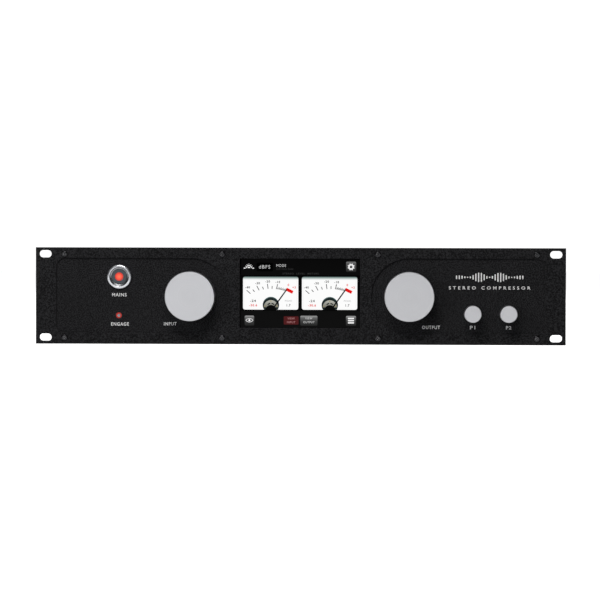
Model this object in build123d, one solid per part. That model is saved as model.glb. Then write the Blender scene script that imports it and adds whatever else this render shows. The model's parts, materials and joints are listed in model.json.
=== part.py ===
from build123d import *
import os
from math import radians, tan

# A two-unit rack compressor with a touch display, as an assembly of separate pieces.
# Millimetres. +X is to the right seen from the front, +Y runs back into the rack, +Z is up.
# The origin is the centre of the four rack slots on the rear face of the front panel.

# 19-inch rack panel, two units high
PANEL_W = 482.6
PANEL_H = 88.1
PANEL_T = 5.0
FRONT = -PANEL_T
RACK_SLOT_X = 465.1 / 2
RACK_SLOT_Z = 76.2 / 2
RACK_SLOT_LENGTH = 11.5
RACK_SLOT_WIDTH = 6.7
EDGE_BREAK = 0.4
THROUGH = 2 * PANEL_T  # a cut this deep passes the panel
BEYOND = 60.0  # a cut to here leaves the case at its top or bottom

# milled control fields
FIELD_DEPTH = 1.5
FIELD_HALF_H = 34.1
FIELD_OUTER_X = 222.4
FIELD_CORNER_R = 8.0
FIELD_FACE = FRONT + FIELD_DEPTH

# display
WINDOW_W = 109.6
WINDOW_H = 63.0
WINDOW_Z = 2.5
LIP_T = 1.5
LENS_W = 120.8
LENS_H = 75.8
LENS_T = 1.0
LENS_PLAY = 0.3
LCD_BACK = 1.5
CARRIER_T = 2.0
CARRIER_BACK = LCD_BACK + CARRIER_T
DISPLAY_SPACER = 8.0

# controls: (x, z) on the panel
BIG_KNOB_X = 99.3
BIG_KNOB_R = 22.5
BIG_KNOB_FACE = -22.5
SMALL_KNOB_X = (156.6, 188.8)
SMALL_KNOB_Z = -15.5
SMALL_KNOB_R = 7.75
SMALL_KNOB_FACE = -20.5
KNOB_GAP = 0.8
KNOB_BACK = FIELD_FACE - KNOB_GAP
MAINS_X = -164.9
MAINS_Z = 17.4
ENGAGE_X = -165.3
ENGAGE_Z = -18.0

# encoders
SHAFT_R = 3.0
SHAFT_FLAT = 2.5
RUNNING_GAP = 0.06
BUSHING_R = 3.5
BUSHING_FRONT = -7.0
ENCODER_W = 12.4
ENCODER_H = 13.2
ENCODER_DEPTH = 7.0
SHAFT_BACK = ENCODER_DEPTH - 2.0
SHAFT_WELL = ENCODER_DEPTH - 1.5
SHAFT_CHAMFER = 0.4
NUT_AF = 10.0
NUT_T = 2.0
BOARD_T = 1.6
CONTROL_BOARD = ENCODER_DEPTH

# chassis
DEPTH = 240.0
REAR_T = 2.5
REAR = DEPTH + REAR_T
CHASSIS_HALF_W = 218.0
CHASSIS_HALF_H = 42.5
SIDE_T = 10.0
SHEET_T = 2.0
INNER = CHASSIS_HALF_H - SHEET_T
REBATE_W = 7.5
SIDE_INNER_X = CHASSIS_HALF_W - SIDE_T
COVER_GAP = 0.2
COVER_HALF_W = SIDE_INNER_X + REBATE_W - COVER_GAP
COVER_SCREW_X = 211.5
COVER_SCREW_Y = (20.0, 86.0, 154.0, 220.0)
COVER_SCREW_LENGTH = 9.0
SPACER_SCREW_LENGTH = 7.0
FRONT_SCREW_X = (71.0, 215.0)
FRONT_SCREW_Z = 38.1
REAR_SCREW_X = 213.0
REAR_SCREW_Z = 34.0
VENT_PITCH = 8.0
VENT_W = 3.0

# M3 screws
M3_R = 1.5
M3_CLEAR_R = 1.7
BUTTON_R = 2.85
BUTTON_H = 1.65
BUTTON_ROUND = 1.1
SOCKET_AF = 2.0
SOCKET_SUNK = 0.9
FRONT_SCREW_LENGTH = 14.0
REAR_SCREW_LENGTH = 12.0
SCREW_END = 1.5  # how far a short screw comes out behind its sheet
SUNK_R = 2.8
SUNK_H = 1.3

# rear connectors: x positions, all on one line
XLR_Z = 4.0
INPUT_X = (165.0, 125.0)
OUTPUT_X = (72.0, 32.0)
XLR_W = 26.0
XLR_H = 31.0
XLR_T = 2.0
XLR_BODY_R = 11.8
XLR_BODY_DEPTH = 22.0
XLR_SCREW_X = 9.5
XLR_SCREW_Z = 12.0
XLR_FACE = REAR + XLR_T
CUP_R = 9.6
CUP_DEPTH = 14.0
PLUG_R = 7.9
CONTACT_R = 1.2
CONTACT_TAIL = 4.0
CONTACT_WELL = 11.0
CONTACT_PLAY = 0.1
PIN_SUNK = 1.5
PIN_ROUND = 0.7
CONTACT_PLACES = ((-4.75, 1.0), (4.75, 1.0), (0.0, -4.75))
LATCH_W = 8.0
LATCH_H = 3.6
LATCH_Z = 12.9
LATCH_TRAVEL = 1.5
LATCH_WELL = 5.0
LATCH_PLAY = 0.6
LATCH_END_GAP = 0.4
LATCH_PROUD = 2.4
LATCH_ROUND = 0.5

INLET_X = -172.0
INLET_T = 3.0
INLET_FACE = REAR + INLET_T
INLET_W = 50.0
INLET_H = 40.0
INLET_BODY_W = 30.0
INLET_BODY_H = 34.0
INLET_BODY_DEPTH = 26.0
INLET_SCREW_X = 20.0
SOCKET_W = 24.4
SOCKET_H = 16.6
SOCKET_DEPTH = 16.0
SOCKET_Z = 6.4
SOCKET_CUT = 4.0
PIN_PLACES = ((-7.0, 4.4), (7.0, 4.4), (0.0, 8.4))
DRAWER_W = 24.0
DRAWER_H = 8.4
DRAWER_DEPTH = 21.0
DRAWER_Z = -8.8
DRAWER_PLAY = 0.5
BLADE_TAIL = 8.0
BLADE_SUNK = 2.5
EARTH_LEAD = 1.0
BLADE_T = 2.0
BLADE_W = 4.0
DRAWER_PROUD = 0.6
LEDGE_PROUD = 1.6
FUSE_R = 2.6
FUSE_LENGTH = 20.0
FUSE_Y = INLET_FACE - 8.0
FUSE_Z = DRAWER_Z - DRAWER_H / 2 + 1.2 + FUSE_R

USB_X = -30.0
USB_W = 12.0
USB_H = 11.0
USB_LENGTH = 16.0
USB_WELL = 9.0
USB_PROUD = 0.6

# inside
AUDIO_BOARD = (2.0, 200.0, 45.0, 212.0)
SUPPLY_BOARD = (-88.0, -8.0, 60.0, 205.0)
SPACER_H = 8.0
SPACER_AF = 5.5
BOARD_UNDER = -INNER + SPACER_H
BOARD_TOP = BOARD_UNDER + BOARD_T
PLUG_TOP = BOARD_TOP + 8.0
POWER_PLUG_X = 13.0
POWER_PLUG_Y = 160.0
HEATSINK_Y = (95.0, 175.0)
TRANSFORMER_X = -150.0
TRANSFORMER_Y = 110.0
TRANSFORMER_R = 46.0
TRANSFORMER_BORE = 15.0
TRANSFORMER_H = 36.0
PAD_T = 1.5
CLAMP_R = 28.0


# ---------------------------------------------------------------- helpers

def block(x0, x1, y0, y1, z0, z1):
    """A box between two corners."""
    centre = Pos((x0 + x1) / 2, (y0 + y1) / 2, (z0 + z1) / 2)
    return centre * Box(abs(x1 - x0), abs(y1 - y0), abs(z1 - z0))


def rod(x, z, y0, y1, r):
    """A cylinder along Y."""
    return Pos(x, (y0 + y1) / 2, z) * Rot(90, 0, 0) * Cylinder(r, abs(y1 - y0))


def post(x, y, z0, z1, r):
    """A cylinder along Z."""
    return Pos(x, y, (z0 + z1) / 2) * Cylinder(r, abs(z1 - z0))


def facing(sketch, y_back, thickness):
    """A sketch drawn as seen from the front (x, z), thick towards the front from y_back."""
    return Pos(0, y_back, 0) * Rot(90, 0, 0) * extrude(sketch, thickness)


def hexagon(af):
    """A hexagon of a given size across flats."""
    return RegularPolygon(af / 2, 6, major_radius=False)


def turned(points, x, z):
    """A turned piece from its half section, points of (radius, y), about a Y axis at x, z."""
    half = make_face(Polyline(*points, close=True))
    return Pos(x, 0, z) * revolve(half, Axis.Y)


def group(solids):
    """Separate solids that share one node."""
    return Compound(children=list(solids))


def wire(points, radius, share=0.45):
    """A round wire: straight runs with an arc at each corner."""
    path = FilletPolyline(*points, radius=corner_radii(points, share))
    return sweep(Plane(origin=path @ 0, z_dir=path % 0) * Circle(radius), path)


def corner_radii(points, share):
    """For each corner, the arc whose tangents take up a share of its shorter run."""
    vectors = [Vector(*p) for p in points]
    radii = []
    for before, at, after in zip(vectors, vectors[1:], vectors[2:]):
        run_in = at - before
        run_out = after - at
        turn = run_in.get_angle(run_out)
        shorter = min(run_in.length, run_out.length)
        radii.append(share * shorter / tan(radians(turn / 2)))
    return radii


# ---------------------------------------------------------------- fasteners

def button_screw(x, z, y_seat, length, way=1):
    """M3 button-head hex socket screw along Y; way 1 points back, -1 points to the front."""
    head = Rot(90, 0, 0) * Cylinder(BUTTON_R, BUTTON_H)
    crown = head.faces().sort_by(Axis.Y)[0].edges()
    head = fillet(crown, BUTTON_ROUND)
    socket = Rot(90, 0, 0) * extrude(hexagon(SOCKET_AF), BUTTON_H)
    head -= Pos(0, SOCKET_SUNK - BUTTON_H / 2, 0) * socket
    screw = Pos(0, -BUTTON_H / 2, 0) * head + rod(0, 0, 0, length, M3_R)
    turn = Rot(0, 0, 0) if way == 1 else Rot(0, 0, 180)
    return Pos(x, y_seat, z) * turn * screw


def sunk_cone(r, head_r, height):
    """A countersunk head with its wide face at the origin, pointing down."""
    return Pos(0, 0, -height / 2) * Cone(r, head_r, height)


def sunk_screw(x, y, z_face, length, up):
    """M3 countersunk screw along Z, its head flush with z_face on the outside."""
    socket = Pos(0, 0, -SOCKET_SUNK) * extrude(hexagon(SOCKET_AF), SUNK_H)
    screw = sunk_cone(M3_R, SUNK_R, SUNK_H) - socket + post(0, 0, -length, -SUNK_H, M3_R)
    turn = Rot(0, 0, 0) if up == 1 else Rot(180, 0, 0)
    return Pos(x, y, z_face) * turn * screw


def front_screw_places():
    return [(sx * x, sz * FRONT_SCREW_Z) for x in FRONT_SCREW_X for sx in (-1, 1) for sz in (-1, 1)]


def front_panel_screws():
    return group(button_screw(x, z, FRONT, screw_length(x), 1) for x, z in front_screw_places())


def screw_length(x):
    """Long screws into the side plates, short ones into the display carrier."""
    return FRONT_SCREW_LENGTH if abs(x) == FRONT_SCREW_X[1] else CARRIER_BACK - FRONT


def cover_screw_places():
    return [(side * COVER_SCREW_X, y) for side in (-1, 1) for y in COVER_SCREW_Y]


def casing_screws():
    """Countersunk screws of the top cover and the bottom plate, and those under the spacers."""
    screws = []
    for up in (-1, 1):
        for x, y in cover_screw_places():
            screws.append(sunk_screw(x, y, up * CHASSIS_HALF_H, COVER_SCREW_LENGTH, up))
    for x, y in spacer_places():
        screws.append(sunk_screw(x, y, -CHASSIS_HALF_H, SPACER_SCREW_LENGTH, -1))
    return group(screws)


def rear_screw_places():
    """Panel corners, inlet ears, and two opposite corners of each audio connector."""
    corners = [(sx * REAR_SCREW_X, sz * REAR_SCREW_Z, REAR) for sx in (-1, 1) for sz in (-1, 1)]
    inlet = [(INLET_X + side * INLET_SCREW_X, 0.0, INLET_FACE) for side in (-1, 1)]
    audio = []
    for x in INPUT_X + OUTPUT_X:
        for side in (-1, 1):
            audio.append((x + side * XLR_SCREW_X, XLR_Z - side * XLR_SCREW_Z, XLR_FACE))
    return corners + inlet + audio


def rear_screws():
    screws = []
    for x, z, seat in rear_screw_places():
        length = REAR_SCREW_LENGTH if abs(x) == REAR_SCREW_X else seat - DEPTH + SCREW_END
        screws.append(button_screw(x, z, seat, length, -1))
    return group(screws)


# ---------------------------------------------------------------- casing

def control_field(side):
    """Outline of a milled field: half round at the display end, rounded at the outer end."""
    mid = (FIELD_OUTER_X + BIG_KNOB_X) / 2
    bar = Pos(mid, 0) * Rectangle(FIELD_OUTER_X - BIG_KNOB_X, 2 * FIELD_HALF_H)
    outer = bar.vertices().group_by(Axis.X)[-1]
    outline = fillet(outer, FIELD_CORNER_R) + Pos(BIG_KNOB_X, 0) * Circle(FIELD_HALF_H)
    return outline if side == 1 else mirror(outline, about=Plane.YZ)


def rack_slots():
    slot = SlotOverall(RACK_SLOT_LENGTH, RACK_SLOT_WIDTH)
    places = [(sx * RACK_SLOT_X, sz * RACK_SLOT_Z) for sx in (-1, 1) for sz in (-1, 1)]
    return [facing(Pos(x, z) * slot, PANEL_T, 2 * THROUGH) for x, z in places]


def front_panel():
    panel = block(-PANEL_W / 2, PANEL_W / 2, FRONT, 0, -PANEL_H / 2, PANEL_H / 2)
    window = Pos(0, WINDOW_Z) * Rectangle(WINDOW_W, WINDOW_H)
    panel -= facing(window, 0, THROUGH)
    for side in (-1, 1):
        panel -= facing(control_field(side), FIELD_FACE, THROUGH)
    rims = panel.edges().filter_by_position(Axis.Y, FRONT - 0.01, FRONT + 0.01)
    panel = chamfer(rims, EDGE_BREAK)
    for slot in rack_slots():
        panel -= slot
    for x, z in front_screw_places():
        panel -= rod(x, z, -THROUGH, THROUGH, M3_CLEAR_R)
    lens_seat = Pos(0, WINDOW_Z) * Rectangle(LENS_W + LENS_PLAY, LENS_H + LENS_PLAY)
    panel -= facing(lens_seat, PANEL_T, 2 * PANEL_T - LIP_T)
    for x, z in encoder_places():
        panel -= rod(x, z, -THROUGH, THROUGH, BUSHING_R)
    panel -= rod(MAINS_X, MAINS_Z, -THROUGH, THROUGH, BARREL_R)
    panel -= rod(ENGAGE_X, ENGAGE_Z, -THROUGH, THROUGH, RING_R)
    return panel


def side_plate(side):
    """A solid plate with a rebate along its top and bottom for the cover and the bottom plate."""
    plate = block(SIDE_INNER_X, CHASSIS_HALF_W, 0, DEPTH, -CHASSIS_HALF_H, CHASSIS_HALF_H)
    plate = chamfer(plate.edges().filter_by(Axis.Y).group_by(Axis.X)[-1], 0.6)
    for up in (-1, 1):
        rebate_end = SIDE_INNER_X + REBATE_W
        plate -= block(SIDE_INNER_X - 1, rebate_end, -1, DEPTH + 1, up * INNER, up * BEYOND)
        plate -= rod(FRONT_SCREW_X[1], up * FRONT_SCREW_Z, -1, FRONT_SCREW_LENGTH + FRONT, M3_R)
        plate -= rod(REAR_SCREW_X, up * REAR_SCREW_Z, REAR - REAR_SCREW_LENGTH, DEPTH + 1, M3_R)
        screw_end = CHASSIS_HALF_H - COVER_SCREW_LENGTH
        for y in COVER_SCREW_Y:
            plate -= post(COVER_SCREW_X, y, up * screw_end, up * BEYOND, M3_R)
    return plate if side == 1 else mirror(plate, about=Plane.YZ)


def cover_blank(up, screw_places):
    """A flat sheet that lies in the rebates, with its countersunk holes."""
    outer = up * CHASSIS_HALF_H
    sheet = block(-COVER_HALF_W, COVER_HALF_W, COVER_GAP, DEPTH - COVER_GAP, up * INNER, outer)
    hole = sunk_cone(M3_R, SUNK_R, SUNK_H) + post(0, 0, -2 * SHEET_T, -SUNK_H, M3_R)
    turn = Rot(0, 0, 0) if up == 1 else Rot(180, 0, 0)
    for x, y in screw_places:
        sheet -= Pos(x, y, outer) * turn * hole
    return sheet


def vents(x0, x1, y, length, z):
    """A row of slots along Y, cut through the sheet that lies at height z."""
    slot = Rot(0, 0, 90) * SlotOverall(length, VENT_W)
    count = round((x1 - x0) / VENT_PITCH) + 1
    lift = z - 2 * SHEET_T
    return [Pos(x0 + i * VENT_PITCH, y, lift) * extrude(slot, 4 * SHEET_T) for i in range(count)]


def top_cover():
    sheet = cover_blank(1, cover_screw_places())
    for x0, x1, y in ((-186, -114, TRANSFORMER_Y), (-84, -12, 135), (60, 148, 135)):
        for slot in vents(x0, x1, y, 70, INNER):
            sheet -= slot
    return sheet


def bottom_plate():
    sheet = cover_blank(-1, cover_screw_places() + spacer_places())
    sheet -= sunk_bolt()
    sheet -= post(TRANSFORMER_X, TRANSFORMER_Y, -BEYOND, 0, BOLT_R)
    for slot in vents(60, 148, 128, 50, -INNER):
        sheet -= slot
    return sheet


def rear_panel():
    sheet = block(-CHASSIS_HALF_W, CHASSIS_HALF_W, DEPTH, REAR, -CHASSIS_HALF_H, CHASSIS_HALF_H)
    sheet = chamfer(sheet.edges().group_by(Axis.Y)[-1], EDGE_BREAK)
    cut = (DEPTH - THROUGH, REAR + THROUGH)
    for x in INPUT_X + OUTPUT_X:
        sheet -= rod(x, XLR_Z, *cut, XLR_BODY_R)
    notch_top = XLR_Z + LATCH_Z + (LATCH_H + LATCH_PLAY) / 2
    for x in INPUT_X:
        sheet -= block(*span(x, LATCH_W + LATCH_PLAY), *cut, XLR_Z, notch_top)
    sheet -= block(*span(INLET_X, INLET_BODY_W), *cut, *span(0, INLET_BODY_H))
    sheet -= block(*span(USB_X, USB_W), *cut, *span(XLR_Z, USB_H))
    for x, z, _ in rear_screw_places():
        sheet -= rod(x, z, *cut, M3_R)
    return sheet


def span(centre, size):
    return centre - size / 2, centre + size / 2


# ---------------------------------------------------------------- display

CARRIER_HALF_W = 78.0
CARRIER_HALF_H = INNER - 0.3
DISPLAY_BOARD_W = 112.0
DISPLAY_BOARD_H = 66.0
DISPLAY_BOARD = CARRIER_BACK + DISPLAY_SPACER
DISPLAY_HEADER_X = (-45.0, 20.0, 45.0)
HEADER_W = 18.0
HEADER_L = 10.0
HEADER_H = 6.0
HEADER_Z = -26.0
CONTROL_HEADER_X = 115.0


def display_glass():
    lens = Pos(0, WINDOW_Z) * Rectangle(LENS_W, LENS_H)
    return facing(lens, FRONT + LIP_T + LENS_T, LENS_T)


def display_panel():
    """The liquid crystal module: a thin tray with its glass towards the lens."""
    body = Pos(0, WINDOW_Z) * Rectangle(LENS_W, LENS_H)
    module = facing(body, LCD_BACK, LCD_BACK - FRONT - LIP_T - LENS_T)
    return chamfer(module.edges().group_by(Axis.Y)[-1], 0.5)


def display_spacer_places():
    return [(sx * 50.0, WINDOW_Z + sz * 28.0) for sx in (-1, 1) for sz in (-1, 1)]


def display_frame():
    """A plate that clamps the display into the front panel, with feet at its four screws."""
    plate = block(-CARRIER_HALF_W, CARRIER_HALF_W, LCD_BACK, CARRIER_BACK, -CARRIER_HALF_H, CARRIER_HALF_H)
    for side in (-1, 1):
        for up in (-1, 1):
            foot_x = side * FRONT_SCREW_X[0]
            plate += block(*span(foot_x, 10), 0, LCD_BACK, up * 33, up * CARRIER_HALF_H)
            plate -= rod(foot_x, up * FRONT_SCREW_Z, -1, CARRIER_BACK + 1, M3_R)
    cable_notch = block(-15, 15, LCD_BACK - 1, CARRIER_BACK + 1, -34, -29)
    return plate - cable_notch


def board(x0, x1, z0, z1, y_front):
    """An upright circuit board."""
    return block(x0, x1, y_front, y_front + BOARD_T, z0, z1)


def display_board():
    half = DISPLAY_BOARD_W / 2
    z0, z1 = span(WINDOW_Z, DISPLAY_BOARD_H)
    pcb = board(-half, half, z0, z1, DISPLAY_BOARD)
    back = DISPLAY_BOARD + BOARD_T
    pcb += block(-12, 12, back, back + 1.4, 2, 26)
    pcb += block(20, 34, back, back + 1.0, 8, 22)
    for x in DISPLAY_HEADER_X:
        pcb += block(*span(x, HEADER_W), back, back + HEADER_H, *span(HEADER_Z, HEADER_L))
    return pcb


# ---------------------------------------------------------------- mains switch and engage switch

BEZEL_R = 11.3
BEZEL_ROUND = 2.0
BEZEL_BEVEL_W = 1.9
BEZEL_BEVEL_H = 1.1
BEZEL_INNER_ROUND = 0.35
BARREL_R = 9.5
BEZEL_H = 2.3
PLUNGER_R = 7.0
PLUNGER_GAP = 0.12
PLUNGER_FACE = FIELD_FACE - 1.7
PLUNGER_BACK = 2.0
PLUNGER_CHAMFER = 0.3
MAINS_TRAVEL = 2.2
BARREL_BACK = 22.0
LENS_R = 3.85
LENS_SUNK = 1.2
LENS_PROUD = 0.25
LENS_ROUND = 0.24
FLOOR_GAP = 0.6
MAINS_NUT_AF = 22.0
MAINS_NUT_T = 3.0
TAB_W = 2.8
TAB_T = 0.6
TAB_LENGTH = 6.0
RING_R = 2.6
CAP_R = 1.3
CAP_FACE = FIELD_FACE - 0.9
CAP_BACK = 4.6
ENGAGE_TRAVEL = 0.8
ENGAGE_BODY_FRONT = 3.4
ENGAGE_BODY_W = 7.0
CAP_PLAY = 0.1
CAP_ROUND = 0.25
CAP_WELL = CAP_BACK + ENGAGE_TRAVEL + 0.4
RING_PROUD = 0.3
RING_CHAMFER = 0.2
TAB_PLACES = ((-5, 4), (5, 4), (-5, -4), (5, -4), (0, 0))


def mains_switch_body():
    """Threaded barrel with a domed bezel, bored for the plunger, and its terminals."""
    bore = PLUNGER_R + PLUNGER_GAP
    floor = PLUNGER_BACK + MAINS_TRAVEL + FLOOR_GAP
    crest = FIELD_FACE - BEZEL_H
    section = [
        (bore, floor), (0, floor), (0, BARREL_BACK), (BARREL_R, BARREL_BACK), (BARREL_R, FIELD_FACE),
        (BEZEL_R, FIELD_FACE), (BEZEL_R, crest), (bore + BEZEL_BEVEL_W, crest), (bore, crest + BEZEL_BEVEL_H),
    ]
    body = fillet(crest_rims(turned(section, MAINS_X, MAINS_Z))[-1], BEZEL_ROUND)
    body = fillet(crest_rims(body)[0], BEZEL_INNER_ROUND)
    for dx, dz in TAB_PLACES:
        tab_x = span(MAINS_X + dx, TAB_W)
        body += block(*tab_x, BARREL_BACK, BARREL_BACK + TAB_LENGTH, *span(MAINS_Z + dz, TAB_T))
    return body


def crest_rims(body):
    """The foremost circles of a turned piece, from the smallest to the largest."""
    return body.edges().filter_by(GeomType.CIRCLE).group_by(Axis.Y)[0].sort_by(SortBy.RADIUS)


def mains_switch_nut():
    """The nut behind the panel, against its rear face."""
    ring = hexagon(MAINS_NUT_AF) - Circle(BARREL_R)
    return facing(Pos(MAINS_X, MAINS_Z) * ring, MAINS_NUT_T, MAINS_NUT_T)


def mains_switch_plunger():
    plunger = rod(MAINS_X, MAINS_Z, PLUNGER_FACE, PLUNGER_BACK, PLUNGER_R)
    plunger = chamfer(plunger.edges().group_by(Axis.Y)[0], PLUNGER_CHAMFER)
    return plunger - rod(MAINS_X, MAINS_Z, PLUNGER_FACE - 1, PLUNGER_FACE + LENS_SUNK, LENS_R)


def mains_switch_lens():
    """The lit dot, standing a little out of the plunger with a round edge."""
    lens = rod(MAINS_X, MAINS_Z, PLUNGER_FACE - LENS_PROUD, PLUNGER_FACE + LENS_SUNK, LENS_R)
    return fillet(lens.edges().group_by(Axis.Y)[0], LENS_ROUND)


def engage_switch_body():
    x0, x1 = span(ENGAGE_X, ENGAGE_BODY_W)
    z0, z1 = span(ENGAGE_Z, ENGAGE_BODY_W)
    body = block(x0, x1, ENGAGE_BODY_FRONT, CONTROL_BOARD, z0, z1)
    return body - rod(ENGAGE_X, ENGAGE_Z, 0, CAP_WELL, CAP_R + CAP_PLAY)


def engage_switch_cap():
    cap = rod(ENGAGE_X, ENGAGE_Z, CAP_FACE, CAP_BACK, CAP_R)
    return fillet(cap.edges().group_by(Axis.Y)[0], CAP_ROUND)


def engage_light_ring():
    ring = rod(ENGAGE_X, ENGAGE_Z, FIELD_FACE - RING_PROUD, ENGAGE_BODY_FRONT, RING_R)
    ring = chamfer(ring.edges().group_by(Axis.Y)[0], RING_CHAMFER)
    return ring - rod(ENGAGE_X, ENGAGE_Z, -THROUGH, THROUGH, CAP_R + CAP_PLAY)


# ---------------------------------------------------------------- knobs and encoders

def encoder_places():
    big = [(-BIG_KNOB_X, 0.0), (BIG_KNOB_X, 0.0)]
    return big + [(x, SMALL_KNOB_Z) for x in SMALL_KNOB_X]


def encoder(x, z):
    """Encoder housing with its threaded bushing, bored for the shaft."""
    body = block(*span(x, ENCODER_W), 0, ENCODER_DEPTH, *span(z, ENCODER_H))
    body += rod(x, z, BUSHING_FRONT, 1, BUSHING_R)
    return body - rod(x, z, -THROUGH, SHAFT_WELL, SHAFT_R + RUNNING_GAP)


def encoder_shaft(x, z, y_front):
    """A 6 mm shaft, flatted where the knob grips it."""
    shaft = rod(x, z, y_front, SHAFT_BACK, SHAFT_R)
    shaft = chamfer(shaft.edges().group_by(Axis.Y)[0], SHAFT_CHAMFER)
    return shaft - flat_side(x, z, y_front - 1, BOSS_BACK)


def flat_side(x, z, y0, y1):
    """What the flat takes off the lower side of a shaft."""
    return block(*span(x, 4 * SHAFT_R), y0, y1, z - 2 * SHAFT_R, z - SHAFT_FLAT)


def encoder_nuts():
    ring = hexagon(NUT_AF) - Circle(BUSHING_R)
    return group(facing(Pos(x, z) * ring, FIELD_FACE, NUT_T) for x, z in encoder_places())


def shaft_socket(x, z, y_back, y_end):
    """The flatted bore of a knob."""
    return rod(x, z, y_back, y_end, SHAFT_R) - flat_side(x, z, y_end - 1, y_back + 1)


BOSS_BACK = BUSHING_FRONT - 0.6
BIG_BOSS_R = 7.0
BIG_CHAMFER = 0.5
SMALL_CHAMFER = 0.4
BACK_CHAMFER = 0.4
SET_SCREW_SUNK = 0.3
SET_SCREW_AF = 1.5
CONTROL_BOARD_X = (82.0, 206.0)
CONTROL_BOARD_HALF_H = 36.0
SWITCH_CUTOUT_R = 14.0
BIG_WEB = -14.0
BIG_RIM_R = 19.5
BIG_SHAFT_FRONT = -18.0
SET_SCREW_Y = -11.0
SMALL_RECESS_R = 6.4
SMALL_SHAFT_FRONT = -17.0


def big_knob(x):
    """Turned aluminium knob, hollow at the back around a boss that holds the shaft."""
    section = [
        (0, BOSS_BACK), (BIG_BOSS_R, BOSS_BACK), (BIG_BOSS_R, BIG_WEB), (BIG_RIM_R, BIG_WEB),
        (BIG_RIM_R, KNOB_BACK), (BIG_KNOB_R - BACK_CHAMFER, KNOB_BACK),
        (BIG_KNOB_R, KNOB_BACK - BACK_CHAMFER), (BIG_KNOB_R, BIG_KNOB_FACE + BIG_CHAMFER),
        (BIG_KNOB_R - BIG_CHAMFER, BIG_KNOB_FACE), (0, BIG_KNOB_FACE),
    ]
    knob = turned(section, x, 0)
    knob -= shaft_socket(x, 0, BOSS_BACK + 1, BIG_SHAFT_FRONT)
    return knob - Pos(x, SET_SCREW_Y, 0) * post(0, 0, -30, -SHAFT_FLAT + 0.1, M3_R)


def knob_set_screw(x):
    """Grub screw on the flat of the shaft, driven from below through the rim."""
    screw = post(x, SET_SCREW_Y, -BIG_BOSS_R + SET_SCREW_SUNK, -SHAFT_FLAT, M3_R)
    return screw - Pos(x, SET_SCREW_Y, -BIG_BOSS_R) * extrude(hexagon(SET_SCREW_AF), 2)


def small_knob(x):
    section = [
        (0, BOSS_BACK), (SMALL_RECESS_R, BOSS_BACK), (SMALL_RECESS_R, KNOB_BACK),
        (SMALL_KNOB_R - BACK_CHAMFER, KNOB_BACK), (SMALL_KNOB_R, KNOB_BACK - BACK_CHAMFER),
        (SMALL_KNOB_R, SMALL_KNOB_FACE + SMALL_CHAMFER), (SMALL_KNOB_R - SMALL_CHAMFER, SMALL_KNOB_FACE),
        (0, SMALL_KNOB_FACE),
    ]
    knob = turned(section, x, SMALL_KNOB_Z)
    return knob - shaft_socket(x, SMALL_KNOB_Z, BUSHING_FRONT + 1, SMALL_SHAFT_FRONT)


def left_control_board():
    """Board of the input encoder and the engage switch, cut out round the mains switch."""
    near, far = CONTROL_BOARD_X
    pcb = board(-far, -near, -CONTROL_BOARD_HALF_H, CONTROL_BOARD_HALF_H, CONTROL_BOARD)
    pcb -= rod(MAINS_X, MAINS_Z, 0, 2 * THROUGH, SWITCH_CUTOUT_R)
    back = CONTROL_BOARD + BOARD_T
    pcb += block(*span(-CONTROL_HEADER_X, HEADER_W), back, back + HEADER_H, *span(HEADER_Z, HEADER_L))
    return pcb + block(-142, -128, back, back + 1.6, 0, 14)


def right_control_board():
    """Board of the output, P1 and P2 encoders."""
    pcb = board(*CONTROL_BOARD_X, -CONTROL_BOARD_HALF_H, CONTROL_BOARD_HALF_H, CONTROL_BOARD)
    back = CONTROL_BOARD + BOARD_T
    pcb += block(*span(CONTROL_HEADER_X, HEADER_W), back, back + HEADER_H, *span(HEADER_Z, HEADER_L))
    return pcb + block(134, 148, back, back + 1.6, 4, 18)


# ---------------------------------------------------------------- rear connectors

def connector_flange(x, body_depth):
    """Square flange of a panel connector with its round body behind."""
    plate = RectangleRounded(XLR_W, XLR_H, 3.0)
    flange = facing(Pos(x, XLR_Z) * plate, XLR_FACE, XLR_T)
    flange += rod(x, XLR_Z, REAR - body_depth, XLR_FACE, XLR_BODY_R)
    for side in (-1, 1):
        hole_z = XLR_Z - side * XLR_SCREW_Z
        flange -= rod(x + side * XLR_SCREW_X, hole_z, REAR - 1, XLR_FACE + 1, M3_R)
    return flange


def input_socket(x):
    """Female socket: a shell with a latch well, and the insert with its three contacts.

    The ring between the two takes the shell of the plug.
    """
    shell = connector_flange(x, XLR_BODY_DEPTH)
    shell -= rod(x, XLR_Z, XLR_FACE - CUP_DEPTH, XLR_FACE + 1, CUP_R)
    well_z = span(XLR_Z + LATCH_Z, LATCH_H + LATCH_PLAY)
    shell -= block(*span(x, LATCH_W + LATCH_PLAY), XLR_FACE - LATCH_WELL, XLR_FACE + 1, *well_z)
    insert = rod(x, XLR_Z, XLR_FACE - CUP_DEPTH, XLR_FACE, PLUG_R)
    well_end = XLR_FACE - CONTACT_WELL
    for dx, dz in CONTACT_PLACES:
        insert -= rod(x + dx, XLR_Z + dz, well_end, XLR_FACE + 1, CONTACT_R + CONTACT_PLAY)
    return [shell, insert]


def input_latch(x):
    """The push tab that frees the plug."""
    back = XLR_FACE - LATCH_WELL + LATCH_TRAVEL + LATCH_END_GAP
    tab = block(*span(x, LATCH_W), back, XLR_FACE + LATCH_PROUD, *span(XLR_Z + LATCH_Z, LATCH_H))
    return fillet(tab.edges().group_by(Axis.Y)[-1], LATCH_ROUND)


def output_socket(x):
    """Male socket: an open cup around three pins."""
    socket = connector_flange(x, XLR_BODY_DEPTH)
    socket -= rod(x, XLR_Z, XLR_FACE - CUP_DEPTH, XLR_FACE + 1, CUP_R)
    for dx, dz in CONTACT_PLACES:
        socket -= rod(x + dx, XLR_Z + dz, REAR - XLR_BODY_DEPTH - 1, XLR_FACE, CONTACT_R)
    return socket


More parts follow.
